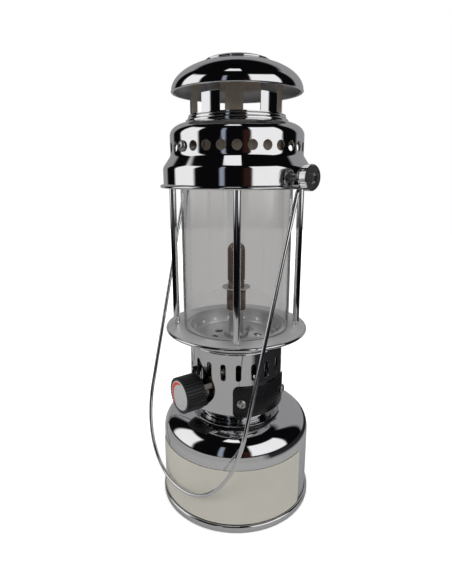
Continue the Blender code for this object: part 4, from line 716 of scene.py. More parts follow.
class Tree:
    """Nodes under construction, of a material or of the world."""

    def __init__(self, owner, output):
        owner.use_nodes = True
        self.nodes = owner.node_tree.nodes
        self.links = owner.node_tree.links
        self.nodes.clear()
        self.output = self.node(output)

    def node(self, kind, settings=None, **inputs):
        """One node with its settings and inputs."""
        node = self.nodes.new(kind)
        for key, value in (settings or {}).items():
            setattr(node, key, value)
        for key, value in inputs.items():
            self.feed(node.inputs[key.replace("_", " ")], value)
        return node

    def feed(self, socket, value):
        """Links a signal to a socket, or sets a plain value on it."""
        if isinstance(value, Signal):
            self.links.new(value.socket, socket)
        else:
            socket.default_value = value

    def ray(self, name):
        """What the light path says about a ray."""
        return Signal(self, self.node("ShaderNodeLightPath").outputs[name])

    def end(self, surface, *layers):
        """Lays further surfaces over the first, each by its own share, and links the last to the output."""
        for share, other in layers:
            mixed = self.node("ShaderNodeMixShader")
            self.feed(mixed.inputs[0], share)
            for part, socket in zip((surface, other), list(mixed.inputs)[1:]):
                self.links.new(part.outputs[0], socket)
            surface = mixed
        self.links.new(surface.outputs[0], self.output.inputs["Surface"])


class Shader(Tree):
    """A material under construction."""

    def __init__(self, name):
        self.material = bpy.data.materials.new(name)
        super().__init__(self.material, "ShaderNodeOutputMaterial")
        self.surface = self.node("ShaderNodeBsdfPrincipled")
        self.end(self.surface)
        self.position = Signal(self, self.node("ShaderNodeTexCoord").outputs["Object"])
        parts = self.node("ShaderNodeSeparateXYZ", Vector=self.position)
        self.x, self.y, self.z = (Signal(self, parts.outputs[axis]) for axis in "XYZ")

    def math(self, operation, *values):
        """The result of a Math node."""
        node = self.node("ShaderNodeMath", {"operation": operation})
        for socket, value in zip(node.inputs, values):
            self.feed(socket, value)
        return Signal(self, node.outputs[0])

    def noise(self, scale, detail=3.0, roughness=0.55, vector=None):
        """Cloudy noise on the object's own coordinates."""
        node = self.node(
            "ShaderNodeTexNoise", Vector=vector or self.position, Scale=scale, Detail=detail,
            Roughness=roughness,
        )
        return Signal(self, node.outputs["Fac"])

    def vector(self, x, y, z):
        """Three values as one vector."""
        return Signal(self, self.node("ShaderNodeCombineXYZ", X=x, Y=y, Z=z).outputs[0])

    def azimuth(self):
        """Angle round the lantern's axis, in radians from the front."""
        return self.math("ARCTAN2", self.x, 0.0 - self.y)

    def spread(self, value, low, high):
        """The value's own range, from low to high, stretched to zero to one."""
        return ((value - low) / (high - low)).clamped()

    def mix(self, share, first, second):
        """Between two colours."""
        node = self.node("ShaderNodeMix", {"data_type": "RGBA"})
        self.feed(node.inputs[0], share)
        for socket, tone in ((6, first), (7, second)):
            self.feed(node.inputs[socket], tone if isinstance(tone, Signal) else (*tone, 1.0))
        return Signal(self, node.outputs[2])

    def bump(self, height, strength, distance):
        """Raises the surface by a height signal."""
        node = self.node("ShaderNodeBump", Height=height, Strength=strength, Distance=distance)
        self.feed(self.surface.inputs["Normal"], Signal(self, node.outputs[0]))

    def put(self, **inputs):
        """Feeds the surface's sockets and gives the finished material."""
        for key, value in inputs.items():
            self.feed(self.surface.inputs[key.replace("_", " ")], value)
        return self.material


def scaled(value, share):
    """A colour made darker or lighter."""
    return tuple(channel * share for channel in value)


def chrome_finish(name, settings):
    """Bright plating with faint smudges, fine rub marks and the slight waves of pressed sheet."""
    s = Shader(name)
    smudge = s.spread(s.noise(38.0, detail=5.0, roughness=0.62), 0.50, 0.74)
    lines = s.vector(s.azimuth() * 0.012, s.z * 3.0, 0.0)
    rub = s.noise(420.0, detail=2.0, roughness=0.5, vector=lines)
    tone = s.mix(smudge * 0.5, settings.chrome, scaled(settings.chrome, 0.94))
    s.bump(s.noise(9.0, detail=1.0, roughness=0.4), strength=0.08, distance=0.002)
    return s.put(Base_Color=tone, Metallic=1.0, Roughness=0.035 + smudge * 0.05 + rub * 0.015)


def steel_finish(name, settings):
    """Dull steel, tinted brown by heat in clouds and upward streaks."""
    s = Shader(name)
    streaks = s.vector(s.x, s.y, s.z * 0.35)
    cloud = s.spread(s.noise(30.0, detail=4.0, roughness=0.6, vector=streaks), 0.38, 0.64)
    tone = s.mix(cloud, settings.steel, settings.steel_heat)
    s.bump(s.noise(900.0, detail=2.0), strength=0.15, distance=0.0002)
    return s.put(Base_Color=tone, Metallic=0.1, Roughness=0.42 + cloud * 0.2)


def dull_finish(name, settings):
    """Unplated inner side, clouded by heat."""
    s = Shader(name)
    cloud = s.spread(s.noise(40.0, detail=4.0, roughness=0.6), 0.35, 0.68)
    tone = s.mix(cloud, settings.dull, scaled(settings.dull, 0.72))
    s.bump(s.noise(800.0, detail=2.0), strength=0.12, distance=0.0002)
    return s.put(Base_Color=tone, Metallic=0.15, Roughness=0.45 + cloud * 0.15)


def satin_finish(name, settings):
    """Thin plating over unpolished sheet, as inside the dome and on the gallery."""
    s = Shader(name)
    cloud = s.spread(s.noise(34.0, detail=4.0, roughness=0.6), 0.35, 0.68)
    tone = s.mix(cloud, settings.satin, scaled(settings.satin, 0.85))
    s.bump(s.noise(700.0, detail=2.0), strength=0.04, distance=0.0001)
    return s.put(Base_Color=tone, Metallic=0.6, Roughness=0.36 + cloud * 0.1)


def zinc_finish(name, settings):
    """Satin zinc with a fine crystalline cloudiness."""
    s = Shader(name)
    grain = s.noise(600.0, detail=3.0, roughness=0.6)
    tone = s.mix(grain, scaled(settings.zinc, 0.82), settings.zinc)
    s.bump(grain, strength=0.1, distance=0.0001)
    return s.put(Base_Color=tone, Metallic=1.0, Roughness=0.22 + grain * 0.16)


def brass_finish(name, settings):
    """Machined brass, slightly darkened in patches, on a base colour that is painted shade."""
    s = Shader(name)
    patch = s.spread(s.noise(120.0, detail=4.0), 0.45, 0.7)
    tone = s.mix(patch, settings.brass, scaled(settings.brass, 0.6))
    rings = s.noise(1500.0, detail=1.0, roughness=0.5, vector=s.vector(0.0, 0.0, s.z))
    s.bump(rings, strength=0.2, distance=0.0001)
    return s.put(Base_Color=tone, Metallic=1.0, Roughness=0.24 + patch * 0.15)


def burner_finish(name, settings):
    """Burner metal browned by heat, with darker patches."""
    s = Shader(name)
    patch = s.spread(s.noise(160.0, detail=4.0, roughness=0.6), 0.4, 0.66)
    tone = s.mix(patch, settings.burner, scaled(settings.burner, 0.45))
    s.bump(s.noise(1400.0, detail=3.0), strength=0.3, distance=0.0002)
    return s.put(Base_Color=tone, Metallic=1.0, Roughness=0.3 + patch * 0.25)


def gauze_finish(name, settings, top):
    """Browned wire gauze with its mesh, and a painted highlight that lightens the crown."""
    s = Shader(name)
    pitch, columns = 0.003, 16.0
    rows = s.math("SINE", s.z * (math.tau / pitch))
    wires = rows * s.math("SINE", s.azimuth() * columns)
    open_mesh = s.spread(wires, -0.1, 0.3)
    s.bump(wires, strength=0.5, distance=0.0003)
    # Painted highlight: the top of the gauze is drawn four times lighter, standing in for light falling on
    # the crown
    crown = s.spread(s.z, top - 0.009, top - 0.002)
    tone = s.mix(crown, settings.burner, scaled(settings.burner, 4.0))
    tone = s.mix(open_mesh, tone, scaled(settings.burner, 0.12))
    return s.put(Base_Color=tone, Metallic=1.0, Roughness=0.3 + open_mesh * 0.3)


def grip_finish(name, settings):
    """Black moulding with a fine grain."""
    s = Shader(name)
    grain = s.noise(1800.0, detail=2.0)
    tone = s.mix(s.noise(60.0), settings.knob, scaled(settings.knob, 1.8))
    s.bump(grain, strength=0.12, distance=0.0001)
    return s.put(Base_Color=tone, Roughness=0.24 + grain * 0.14, Specular_IOR_Level=0.5)


def cap_finish(name, settings, knob):
    """Pale moulding with a red wedge and small strokes round its edge."""
    s = Shader(name)
    side = around(knob.place + QUARTER, 1.0)
    across = s.x * side.x + s.y * side.y
    up = s.z - knob.height
    reach = (across * across + up * up).math("SQRT")
    turn = s.math("ARCTAN2", across, up)
    share = (turn - knob.mark_start) / knob.mark_angle
    wedge = knob.mark_least + share * (1.0 - share) * (4 * knob.mark_swell)
    outer = knob.cap_radius - knob.mark_inset
    inside = (share > 0.0) * (share < 1.0) * (reach < outer) * (reach > (outer - wedge))
    between = s.math("PINGPONG", turn + knob.stroke_phase, knob.stroke_spacing)
    strokes = (between < knob.stroke_half) * (turn > knob.stroke_from)
    strokes = strokes * (reach < knob.cap_radius * knob.stroke_outer)
    strokes = strokes * (reach > knob.cap_radius * knob.stroke_inner)
    grain = s.noise(900.0, detail=2.0)
    tone = s.mix(grain * 0.4, settings.cap, scaled(settings.cap, 0.88))
    tone = s.mix(inside, tone, settings.cap_mark)
    tone = s.mix(strokes, tone, scaled(settings.cap, 0.12))
    s.bump(grain, strength=0.06, distance=0.0001)
    return s.put(Base_Color=tone, Roughness=0.32 + grain * 0.08)


def enamel_finish(name, settings):
    """Satin black lacquer with a faint orange peel."""
    s = Shader(name)
    peel = s.noise(700.0, detail=2.0)
    tone = s.mix(s.noise(45.0), settings.enamel, scaled(settings.enamel, 1.7))
    s.bump(peel, strength=0.08, distance=0.0002)
    return s.put(Base_Color=tone, Roughness=0.2 + peel * 0.12, Specular_IOR_Level=0.2)


def paper_finish(name, settings):
    """Cream coated paper with a faint fibre and a little toning in patches."""
    s = Shader(name)
    fibre = s.noise(1100.0, detail=4.0, roughness=0.7)
    toning = s.spread(s.noise(22.0, detail=3.0), 0.4, 0.7)
    tone = s.mix(toning * 0.6 + fibre * 0.3, settings.paper, scaled(settings.paper, 0.9))
    s.bump(fibre, strength=0.1, distance=0.0001)
    return s.put(Base_Color=tone, Roughness=0.5 + fibre * 0.12)


def rubber_finish(name, settings):
    """Matt black rubber."""
    s = Shader(name)
    grain = s.noise(1300.0, detail=3.0)
    tone = s.mix(grain, settings.rubber, scaled(settings.rubber, 1.6))
    s.bump(grain, strength=0.2, distance=0.0002)
    return s.put(Base_Color=tone, Roughness=0.62 + grain * 0.2)


def glass_finish(name, settings):
    """Clear glass with a hardly visible film."""
    s = Shader(name)
    film = s.spread(s.noise(24.0, detail=4.0), 0.55, 0.8)
    tone = s.mix(film, settings.glass, scaled(settings.glass, 0.985))
    s.put(Transmission_Weight=1.0, IOR=1.14, Coat_Weight=1.0, Coat_IOR=1.45, Coat_Roughness=0.02)
    return s.put(Base_Color=tone, Roughness=film * 0.03)


FINISH_OF_SLOT = {
    "chrome_plate": chrome_finish,
    "bare_steel": steel_finish,
    "zinc_plate": zinc_finish,
    "brass": brass_finish,
    "burner_metal": burner_finish,
    "knob_plastic": grip_finish,
    "black_enamel": enamel_finish,
    "label_paper": paper_finish,
    "clear_glass": glass_finish,
    "seal_rubber": rubber_finish,
}


def finish_for(slot):
    """The finish of a material slot, made when it is first asked for."""
    name = "finish_" + slot
    if name in bpy.data.materials:
        return bpy.data.materials[name]
    settings = bpy.context.scene.lantern_finish
    if slot == "cap_plastic":
        return cap_finish(name, settings, bpy.context.scene.lantern_knob)
    return FINISH_OF_SLOT[slot](name, settings)


def coat_inside(piece, material, inside):
    """Gives a second finish to the faces that the test picks by centre and normal."""
    piece.data.materials.append(material)
    for face in piece.data.polygons:
        if inside(face.center, face.normal):
            face.material_index = 1


def inward(spot, normal, least):
    """Whether a face looks towards the axis by at least this share."""
    return normal.xy.dot(spot.xy) < -least * spot.xy.length


def dress(piece, body, slot, node):
    """Gives a piece its finish and its body, and hides the CAD node that it stands for."""
    pick(piece)
    piece.data.materials.clear()
    piece.data.materials.append(finish_for(slot))
    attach(piece, body)
    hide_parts(node)


# Pieces

class LANTERN_OT_tank(Operator):
    """Pressed tank shell and bottom pan with its rolled rim"""
    bl_idname = "lantern.tank"
    bl_label = "Tank"

    def execute(self, context):
        t = context.scene.lantern_tank
        inner = t.radius - t.wall
        top = t.straight_top + t.shoulder_rise
        section = [(inner, t.bottom), (t.radius, t.bottom)]
        section += arc(
            t.shoulder_inner, t.straight_top, t.radius - t.shoulder_inner, t.shoulder_rise,
            0.0, QUARTER, steps=40, power=t.shoulder_power,
        )
        section += [(t.stem_radius, top), (t.stem_radius, top - t.wall)]
        section += arc(
            t.shoulder_inner, t.straight_top, inner - t.shoulder_inner, t.shoulder_rise - t.wall,
            QUARTER, 0.0, steps=20, power=t.shoulder_power,
        )
        shell = turned("tank_shell_fine", section, t.turn_steps)
        smooth(shell)
        dress(shell, "lantern", "chrome_plate", "tank_shell")

        ring_in = t.ring_radius - t.ring_width / 2
        ring_out = t.ring_radius + t.ring_width / 2
        slope = t.ring_rise * 2
        rim = t.rim_radius - t.rim_round
        section = [(0.0, 0.0), (ring_in, 0.0), (ring_in + slope, t.ring_rise)]
        section += [(ring_out - slope, t.ring_rise), (ring_out, 0.0)]
        section += bend(rim, t.rim_round, t.rim_round, -90, 0, steps=8)
        section += bend(rim, t.rim_height - t.rim_round, t.rim_round, 0, 90, steps=8)
        section += [(t.label_inner, t.rim_height), (t.label_inner, t.sheet), (ring_out, t.sheet)]
        section += [(ring_out - slope, t.ring_rise + t.sheet), (ring_in + slope, t.ring_rise + t.sheet)]
        section += [(ring_in, t.sheet), (0.0, t.sheet)]
        pan = solid("tank_base_fine", section, t.press_round, t.turn_steps)
        smooth(pan)
        dress(pan, "lantern", "chrome_plate", "tank_base")
        return {"FINISHED"}


class LANTERN_OT_label(Operator):
    """Bare paper label round the tank"""
    bl_idname = "lantern.label"
    bl_label = "Label"

    def execute(self, context):
        t = context.scene.lantern_tank
        label = bent_sheet(
            "tank_label_fine", t.label_inner, t.label_thickness, t.label_bottom, t.label_top,
            t.label_start, t.label_end, corner=t.label_corner, columns=120,
        )
        smooth(label)
        dress(label, "lantern", "label_paper", "tank_label")
        return {"FINISHED"}


class LANTERN_OT_housing(Operator):
    """Neck collar and slotted housing with the knob's opening"""
    bl_idname = "lantern.housing"
    bl_label = "Housing"

    def execute(self, context):
        h = context.scene.lantern_housing
        steps = context.scene.lantern_tank.turn_steps
        stem = context.scene.lantern_tank.stem_radius
        top = h.bottom + h.height
        inner = h.radius - h.wall
        lip = inner - h.lip
        section = [(stem, h.bottom)]
        section += bend(h.radius - h.edge, h.bottom + h.edge, h.edge, -90, 0, steps=6)
        section += bend(h.radius - h.edge, top - h.edge, h.edge, 0, 90, steps=6)
        section += [(lip, top), (lip, top - h.wall), (inner, top - h.wall), (inner, h.bottom + h.wall)]
        section += [(stem, h.bottom + h.wall)]
        drum = turned("burner_housing_fine", section, steps)
        far = h.radius + 3 * SPARE
        slot = rounded_box(h.slot_width, h.slot_height, h.slot_width / 2 - HAIR)
        cutters = []
        for index, place in enumerate(places(h.slot_start, h.slot_count)):
            cutter = raised(f"slot_{index}", slot, inner - 3 * SPARE, far)
            cutters.append(set_down(cutter, (0, 0, h.bottom + h.slot_rise), facing(place)))
        cut(drum, cutters)
        near = inner - h.opening_depth
        centre = (0, 0, h.bottom + h.opening_rise)
        cut(drum, [peg(h.opening_radius, near, far, centre, h.opening_place, ROUND_STEPS)])
        cut(drum, [opening_flare(h, near, far)])
        cut(drum, [seam_block(h)])
        smooth(drum)
        dress(drum, "lantern", "chrome_plate", "burner_housing")

        waist = h.collar_radius - h.collar_step
        foot = h.collar_bottom + h.collar_rim
        top = h.collar_bottom + h.collar_height
        section = [(h.collar_bore, h.collar_bottom), (h.collar_radius, h.collar_bottom)]
        section += [(h.collar_radius, foot), (waist, foot + h.collar_slope)]
        section += [(waist, top), (h.collar_bore, top)]
        collar = turned("neck_collar_fine", softened(section, h.press_round), steps)
        smooth(collar)
        dress(collar, "lantern", "chrome_plate", "neck_collar")
        return {"FINISHED"}


def opening_flare(h, near, far):
    """A cutter that runs the slot beside the knob's opening down into it."""
    slot_place = h.slot_start - math.tau * FLARED_SLOT / h.slot_count
    side = (slot_place - h.opening_place) * h.radius
    end = h.slot_rise - h.opening_rise + h.slot_height / 2 - h.slot_width / 2
    outline = bend(side, end, h.slot_width / 2, 10, 170, steps=12)
    outline.append((side / 2, 0.0))
    for degrees in FLARE_FOOT:
        turn = math.radians(degrees)
        outline.append((h.opening_radius * math.cos(turn), h.opening_radius * math.sin(turn)))
    block = raised("flare", outline, near, far)
    return set_down(block, (0, 0, h.bottom + h.opening_rise), facing(h.opening_place))


def seam_block(h):
    """A cutter for the groove of the butted seam."""
    bpy.ops.mesh.primitive_cube_add(
        size=1, location=around(h.seam_place, h.radius, h.bottom + h.height * h.seam_rise),
        rotation=(0, 0, h.seam_place),
    )
    seam = bpy.context.active_object
    seam.scale = (h.seam_width, h.wall, h.height)
    return set_down(seam, seam.location, seam.rotation_euler)


class LANTERN_OT_plate(Operator):
    """Bare bent plate on the housing and its two pan-head screws"""
    bl_idname = "lantern.plate"
    bl_label = "Plate and screws"

    def execute(self, context):
        h = context.scene.lantern_housing
        inner = h.radius + h.plate_lift
        plate = bent_sheet(
            "nameplate_fine", inner, h.plate_thickness, h.plate_bottom, h.plate_bottom + h.plate_height,
            h.plate_centre - h.plate_half, h.plate_centre + h.plate_half,
            corner=h.plate_corner, columns=60,
        )
        rounded_edges(plate, h.plate_edge)
        smooth(plate)
        dress(plate, "lantern", "black_enamel", "nameplate")
        seat = inner + h.plate_thickness + GAP
        for index, side in enumerate((-1, 1), 1):
            place = h.plate_centre + side * (h.plate_half - h.screw_inset)
            screw = pan_head(f"nameplate_screw_fine_{index}", h)
            set_down(screw, around(place, seat, h.plate_bottom + h.screw_rise), facing(place))
            dress(screw, "lantern", "zinc_plate", f"nameplate_screw_{index}")
        return {"FINISHED"}


def pan_head(name, h):
    """A pan head with its hexagon socket, standing on zero, with its shank."""
    section = [(0.0, -h.shank_length), (h.shank_radius, -h.shank_length)]
    section += [(h.shank_radius, 0.0), (h.head_radius, 0.0)]
    section += arc(
        0.0, 0.0, h.head_radius, h.head_height, math.radians(8), math.radians(80),
        steps=10, power=h.head_power,
    )
    section += [(0.0, h.head_height)]
    screw = solid(name, section, h.head_edge, SMALL_STEPS)
    floor, top = h.head_height - h.socket_depth, h.head_height + h.socket_depth
    cut(screw, [post(h.socket_radius, floor, top, vertices=6)])
    smooth(screw)
    return screw


class LANTERN_OT_knob(Operator):
    """Ribbed grip with its pale cap"""
    bl_idname = "lantern.knob"
    bl_label = "Knob"

    def execute(self, context):
        k = context.scene.lantern_knob
        seat = k.front - k.cap_thickness
        grip = raised("regulator_knob_fine", ribbed(k.radius, k.rib_depth, k.rib_count), k.back, k.front)
        cut(grip, [post(k.cap_radius + GAP, seat - GAP, k.front + SPARE, ROUND_STEPS)])
        rounded_edges(grip, k.edge, segments=3, limit=60)
        smooth(grip)
        set_down(grip, (0, 0, k.height), facing(k.place))
        dress(grip, "regulator", "knob_plastic", "regulator_knob")

        section = [(0.0, seat), (k.cap_radius, seat), (k.cap_radius, k.front)]
        section += arc(0.0, k.front, k.cap_radius - GAP, k.cap_crown, 0.0, QUARTER, steps=12)[:-1]
        section += [(0.0, k.front + k.cap_crown)]
        cap = solid("knob_cap_fine", section, k.cap_edge, ROUND_STEPS)
        smooth(cap)
        set_down(cap, (0, 0, k.height), facing(k.place))
        dress(cap, "regulator", "cap_plastic", "knob_cap")
        return {"FINISHED"}


class LANTERN_OT_gallery(Operator):
    """Gallery plate with the perforated cup"""
    bl_idname = "lantern.gallery"
    bl_label = "Gallery"

    def execute(self, context):
        g = context.scene.lantern_gallery
        inner = g.cup_radius - g.sheet
        under = g.top - g.sheet
        roll = g.radius - g.roll
        floor = g.cup_bottom + g.sheet
        lip_out = inner + g.lip_width
        lip_top = g.top + g.lip_rise
        section = [(g.tube_radius, g.cup_bottom)]
        section += bend(g.cup_radius - g.cup_round, g.cup_bottom + g.cup_round, g.cup_round, -90, 0, steps=6)
        section += [(g.cup_radius, under), (roll, under)]
        section += bend(roll, g.top - g.roll, g.roll, -80, 90, steps=14)
        section += [(lip_out + g.sheet, g.top), (lip_out, lip_top), (inner, lip_top)]
        section += bend(inner - g.cup_round, floor + g.cup_round, g.cup_round, 0, -90, steps=6)
        section += [(g.tube_radius, floor)]
        plate = turned("gallery_fine", section, context.scene.lantern_tank.turn_steps)
        near, far = inner - 2 * SPARE, g.cup_radius + 2 * SPARE
        centre = (0, 0, floor + g.cup_hole_rise)
        cutters = []
        for place in places(g.cup_hole_start, g.cup_hole_count):
            cutters.append(peg(g.cup_hole_radius, near, far, centre, place, vertices=24))
        for index, place in enumerate(places(g.floor_start, g.floor_places)):
            if index not in SCREW_PLACES:
                cutters.append(post(
                    g.floor_hole_radius, floor - 3 * SPARE, floor + 3 * SPARE, vertices=40,
                    spot=around(place, g.floor_circle).xy,
                ))
        cut(plate, cutters)
        smooth(plate)
        dress(plate, "lantern", "chrome_plate", "gallery")
        coat_inside(
            plate, satin_finish("finish_cup_inside", context.scene.lantern_finish),
            lambda spot, normal: spot.xy.length < roll
            and (normal.z > 0.1 or inward(spot, normal, least=0.3)),
        )
        return {"FINISHED"}


class LANTERN_OT_globe(Operator):
    """Clear glass cylinder"""
    bl_idname = "lantern.globe"
    bl_label = "Globe"

    def execute(self, context):
        g = context.scene.lantern_gallery
        outer = g.globe_inner + g.globe_wall
        section = [(g.globe_inner, g.globe_bottom), (outer, g.globe_bottom)]
        section += [(outer, g.globe_top), (g.globe_inner, g.globe_top)]
        steps = context.scene.lantern_tank.turn_steps
        globe = turned("globe_fine", softened(section, g.globe_round, steps=5), steps)
        smooth(globe)
        dress(globe, "lantern", "clear_glass", "globe")
        return {"FINISHED"}


class LANTERN_OT_rods(Operator):
    """Plated rods between gallery and hood"""
    bl_idname = "lantern.rods"
    bl_label = "Rods"

    def execute(self, context):
        g = context.scene.lantern_gallery
        section = [(0.0, g.rod_bottom), (g.rod_radius, g.rod_bottom)]
        section += [(g.rod_radius, g.rod_top), (0.0, g.rod_top)]
        first = solid("frame_rod_fine_1", section, g.rod_round, SMALL_STEPS)
        set_down(first, around(g.rod_start, g.rod_circle))
        smooth(first)
        rods = [first]
        for turn in places(0.0, g.rod_count)[1:]:
            twin = copied(first, f"frame_rod_fine_{len(rods) + 1}")
            rods.append(set_down(twin, rotation=(0, 0, turn)))
        for index, rod in enumerate(rods, 1):
            dress(rod, "lantern", "chrome_plate", f"frame_rod_{index}")
        return {"FINISHED"}


class LANTERN_OT_hood(Operator):
    """Pressed hood with its pierced band"""
    bl_idname = "lantern.hood"
    bl_label = "Hood"

    def execute(self, context):
        h = context.scene.lantern_hood
        bead, bead_top = h.bead_height / 2, h.bottom + h.bead_height
        crown_centre = h.upper_radius - h.crown_width
        section = bend(h.bead_radius - bead, h.bottom + bead, bead, -90, 90, steps=12)
        section += [(h.band_radius + h.bead_ease, bead_top), (h.band_radius, bead_top + h.bead_ease)]
        step = [(h.band_radius, h.step_bottom - h.step_run), (h.band_radius, h.step_bottom)]
        step += [(h.upper_radius, h.upper_bottom), (h.upper_radius, h.upper_bottom + h.step_run)]
        section += softened(step, h.step_round, steps=6, closed=False)
        section += arc(crown_centre, h.crown_bottom, h.crown_width, h.crown_rise, 0.0, h.crown_end, steps=16)
        for index in range(h.roll_count):
            radius = h.roll_radius - index * h.roll_step
            foot = h.roll_foot + index * h.roll_lift
            section.append((radius, foot))
            section += bend(
                radius - h.roll_round, foot + h.roll_height - h.roll_round, h.roll_round, 0, 90, steps=8,
            )
        section += [(h.neck_radius, h.top - h.neck_height / 2), (h.neck_radius, h.top)]
        section += hood_inside(h, crown_centre)
        shell = turned("hood_shell_fine", section, context.scene.lantern_tank.turn_steps)
        near, far = h.upper_radius - 3 * SPARE, h.upper_radius + 3 * SPARE
        cutters = []
        for index, place in enumerate(places(h.hole_start, h.hole_count)):
            radius = h.hole_radius if index % h.screw_every else h.screw_hole
            cutters.append(peg(radius, near, far, (0, 0, h.hole_height), place, vertices=40))
        cut(shell, cutters)
        smooth(shell)
        dress(shell, "hood", "chrome_plate", "hood_shell")
        coat_inside(
            shell, dull_finish("finish_hood_inside", context.scene.lantern_finish),
            lambda spot, normal: inward(spot, normal, least=0.7)
            and spot.xy.length < h.band_radius - h.sheet / 2 and spot.z < h.crown_bottom,
        )
        return {"FINISHED"}


def hood_inside(h, crown_centre):
    """Inner side of the hood's section, from the neck down to the lower edge."""
    sheet = h.sheet
    neck, band = h.neck_radius - sheet, h.band_radius - sheet
    points = [(neck, h.top), (neck, h.top - h.neck_height - sheet)]
    points += arc(
        crown_centre, h.crown_bottom, h.crown_width - sheet, h.crown_rise - sheet,
        h.crown_end, 0.0, steps=12,
    )
    points += eased(
        (h.upper_radius - sheet, h.upper_bottom - sheet / 2), (band, h.step_bottom - sheet / 2), steps=12,
    )
    return points + [(band, h.bottom)]


class LANTERN_OT_chimney(Operator):
    """Windowed collar, dome and cap"""
    bl_idname = "lantern.chimney"
    bl_label = "Chimney and dome"

    def execute(self, context):
        h = context.scene.lantern_hood
        finishes = context.scene.lantern_finish
        steps = context.scene.lantern_tank.turn_steps
        inner = h.chimney_radius - h.sheet
        under_radius, under_rise = h.dome_radius - h.sheet, h.dome_rise - h.sheet
        top = dome_height(h, h.chimney_radius, under_radius, under_rise) - 2 * GAP
        section = [(inner, h.chimney_bottom), (h.chimney_radius, h.chimney_bottom)]
        section += [(h.chimney_radius, top), (inner, top)]
        collar = turned("chimney_collar_fine", softened(section, h.chimney_edge), steps)
        near, far = inner - 4 * SPARE, h.chimney_radius + 4 * SPARE
        half = h.window_angle / 2
        cutters = []
        for place in places(h.window_start, h.window_count):
            cutters.append(bent_sheet(
                "window", near, far - near, h.window_bottom, h.window_top,
                place - half, place + half, corner=0.0, columns=24,
            ))
        cut(collar, cutters)
        smooth(collar)
        dress(collar, "hood", "chrome_plate", "chimney_collar")
        coat_inside(
            collar, dull_finish("finish_collar_inside", finishes),
            lambda spot, normal: inward(spot, normal, least=0.5),
        )

        roll = h.dome_roll
        section = arc(0.0, h.dome_eave, h.dome_radius, h.dome_rise, QUARTER, 0.0, 36, h.dome_power)
        section += arc(
            h.dome_radius - roll, h.dome_eave, roll + h.dome_swell, roll,
            0.0, math.radians(-150), steps=10,
        )
        section += arc(0.0, h.dome_eave, under_radius, under_rise, 0.0, QUARTER, steps=24, power=h.dome_power)
        dome = turned("dome_fine", section, steps, closed=False)
        smooth(dome)
        dress(dome, "hood", "chrome_plate", "dome")
        coat_inside(
            dome, satin_finish("finish_dome_inside", finishes),
            lambda spot, normal: normal.z < 0 and spot.xy.length < under_radius,
        )

        cap = turned("dome_cap_fine", cap_section(h, steps=24), steps, closed=False)
        smooth(cap)
        dress(cap, "hood", "chrome_plate", "dome_cap")
        return {"FINISHED"}


def dome_height(h, radius, dome_radius, rise):
    """Height of the dome's outer or inner side at a radius."""
    share = min(radius / dome_radius, 1.0)
    return h.dome_eave + rise * (1 - share ** h.dome_power) ** (1 / h.dome_power)


def cap_section(h, steps):
    """Half section of the dome's cap, which follows the dome below it."""
    under, over = [], []
    for step in range(steps + 1):
        share = step / steps
        radius = h.cap_radius * share
        seat = dome_height(h, radius, h.dome_radius, h.dome_rise) + GAP
        lift = (h.cap_rise - h.cap_sheet) * math.sqrt(max(0.0, 1 - share ** 2))
        under.append((radius, seat))
        over.append((radius, seat + h.cap_sheet + lift))
    return under + over[::-1]


class LANTERN_OT_handle(Operator):
    """Bent wire handle"""
    bl_idname = "lantern.handle"
    bl_label = "Handle"

    def execute(self, context):
        h = context.scene.lantern_handle
        across = around(h.place, 1.0)
        forward = around(h.place - QUARTER, 1.0)
        down = Vector((0, 0, -1)) * math.cos(h.tilt) + forward * math.sin(h.tilt)
        off = across.cross(down)
        centre = Vector((0, 0, h.pivot))
        route = handle_half(h, 1) + handle_half(h, -1)[-2::-1]
        begin("handle_fine")
        trace([centre + across * a + down * d + off * o for a, d, o in route])
        bpy.ops.object.mode_set(mode="OBJECT")
        bpy.ops.object.convert(target="CURVE")
        wire = context.active_object.data
        wire.bevel_depth = h.wire
        wire.bevel_resolution = 6
        wire.use_fill_caps = True
        bpy.ops.object.convert(target="MESH")
        piece = context.active_object
        bpy.ops.object.mode_set(mode="EDIT")
        settle()
        smooth(piece, limit=40)
        dress(piece, "carrying_handle", "chrome_plate", "handle")
        return {"FINISHED"}


def handle_half(h, side):
    """Half of the wire's route, from the eye's end to the arc's middle: across, down and off."""
    points = []
    for step in range(EYE_STEPS + 1):
        turn = h.eye_start + (h.eye_end - h.eye_start) * step / EYE_STEPS
        width = h.half_width + h.eye_pitch * (h.eye_end - turn) / math.tau
        points.append((side * width, -h.eye_radius * math.cos(turn), h.eye_radius * math.sin(turn)))
    _, end_down, end_off = points[-1]
    for step in range(1, LEG_STEPS):
        share = step / LEG_STEPS
        ease = (1 + math.cos(math.pi * share)) / 2
        points.append((side * h.half_width, end_down + (h.eye_neck - end_down) * share, end_off * ease))
    for step in range(LEG_STEPS):
        share = step / LEG_STEPS
        width = h.half_width + (h.arc_width - h.half_width) * share
        points.append((side * width, h.eye_neck + (h.leg - h.eye_neck) * share, 0.0))
    half_arc = arc(0.0, h.leg, h.arc_width, h.arc_height, 0.0, QUARTER, steps=48, power=h.arc_power)
    return points + [(side * width, drop, 0.0) for width, drop in half_arc]


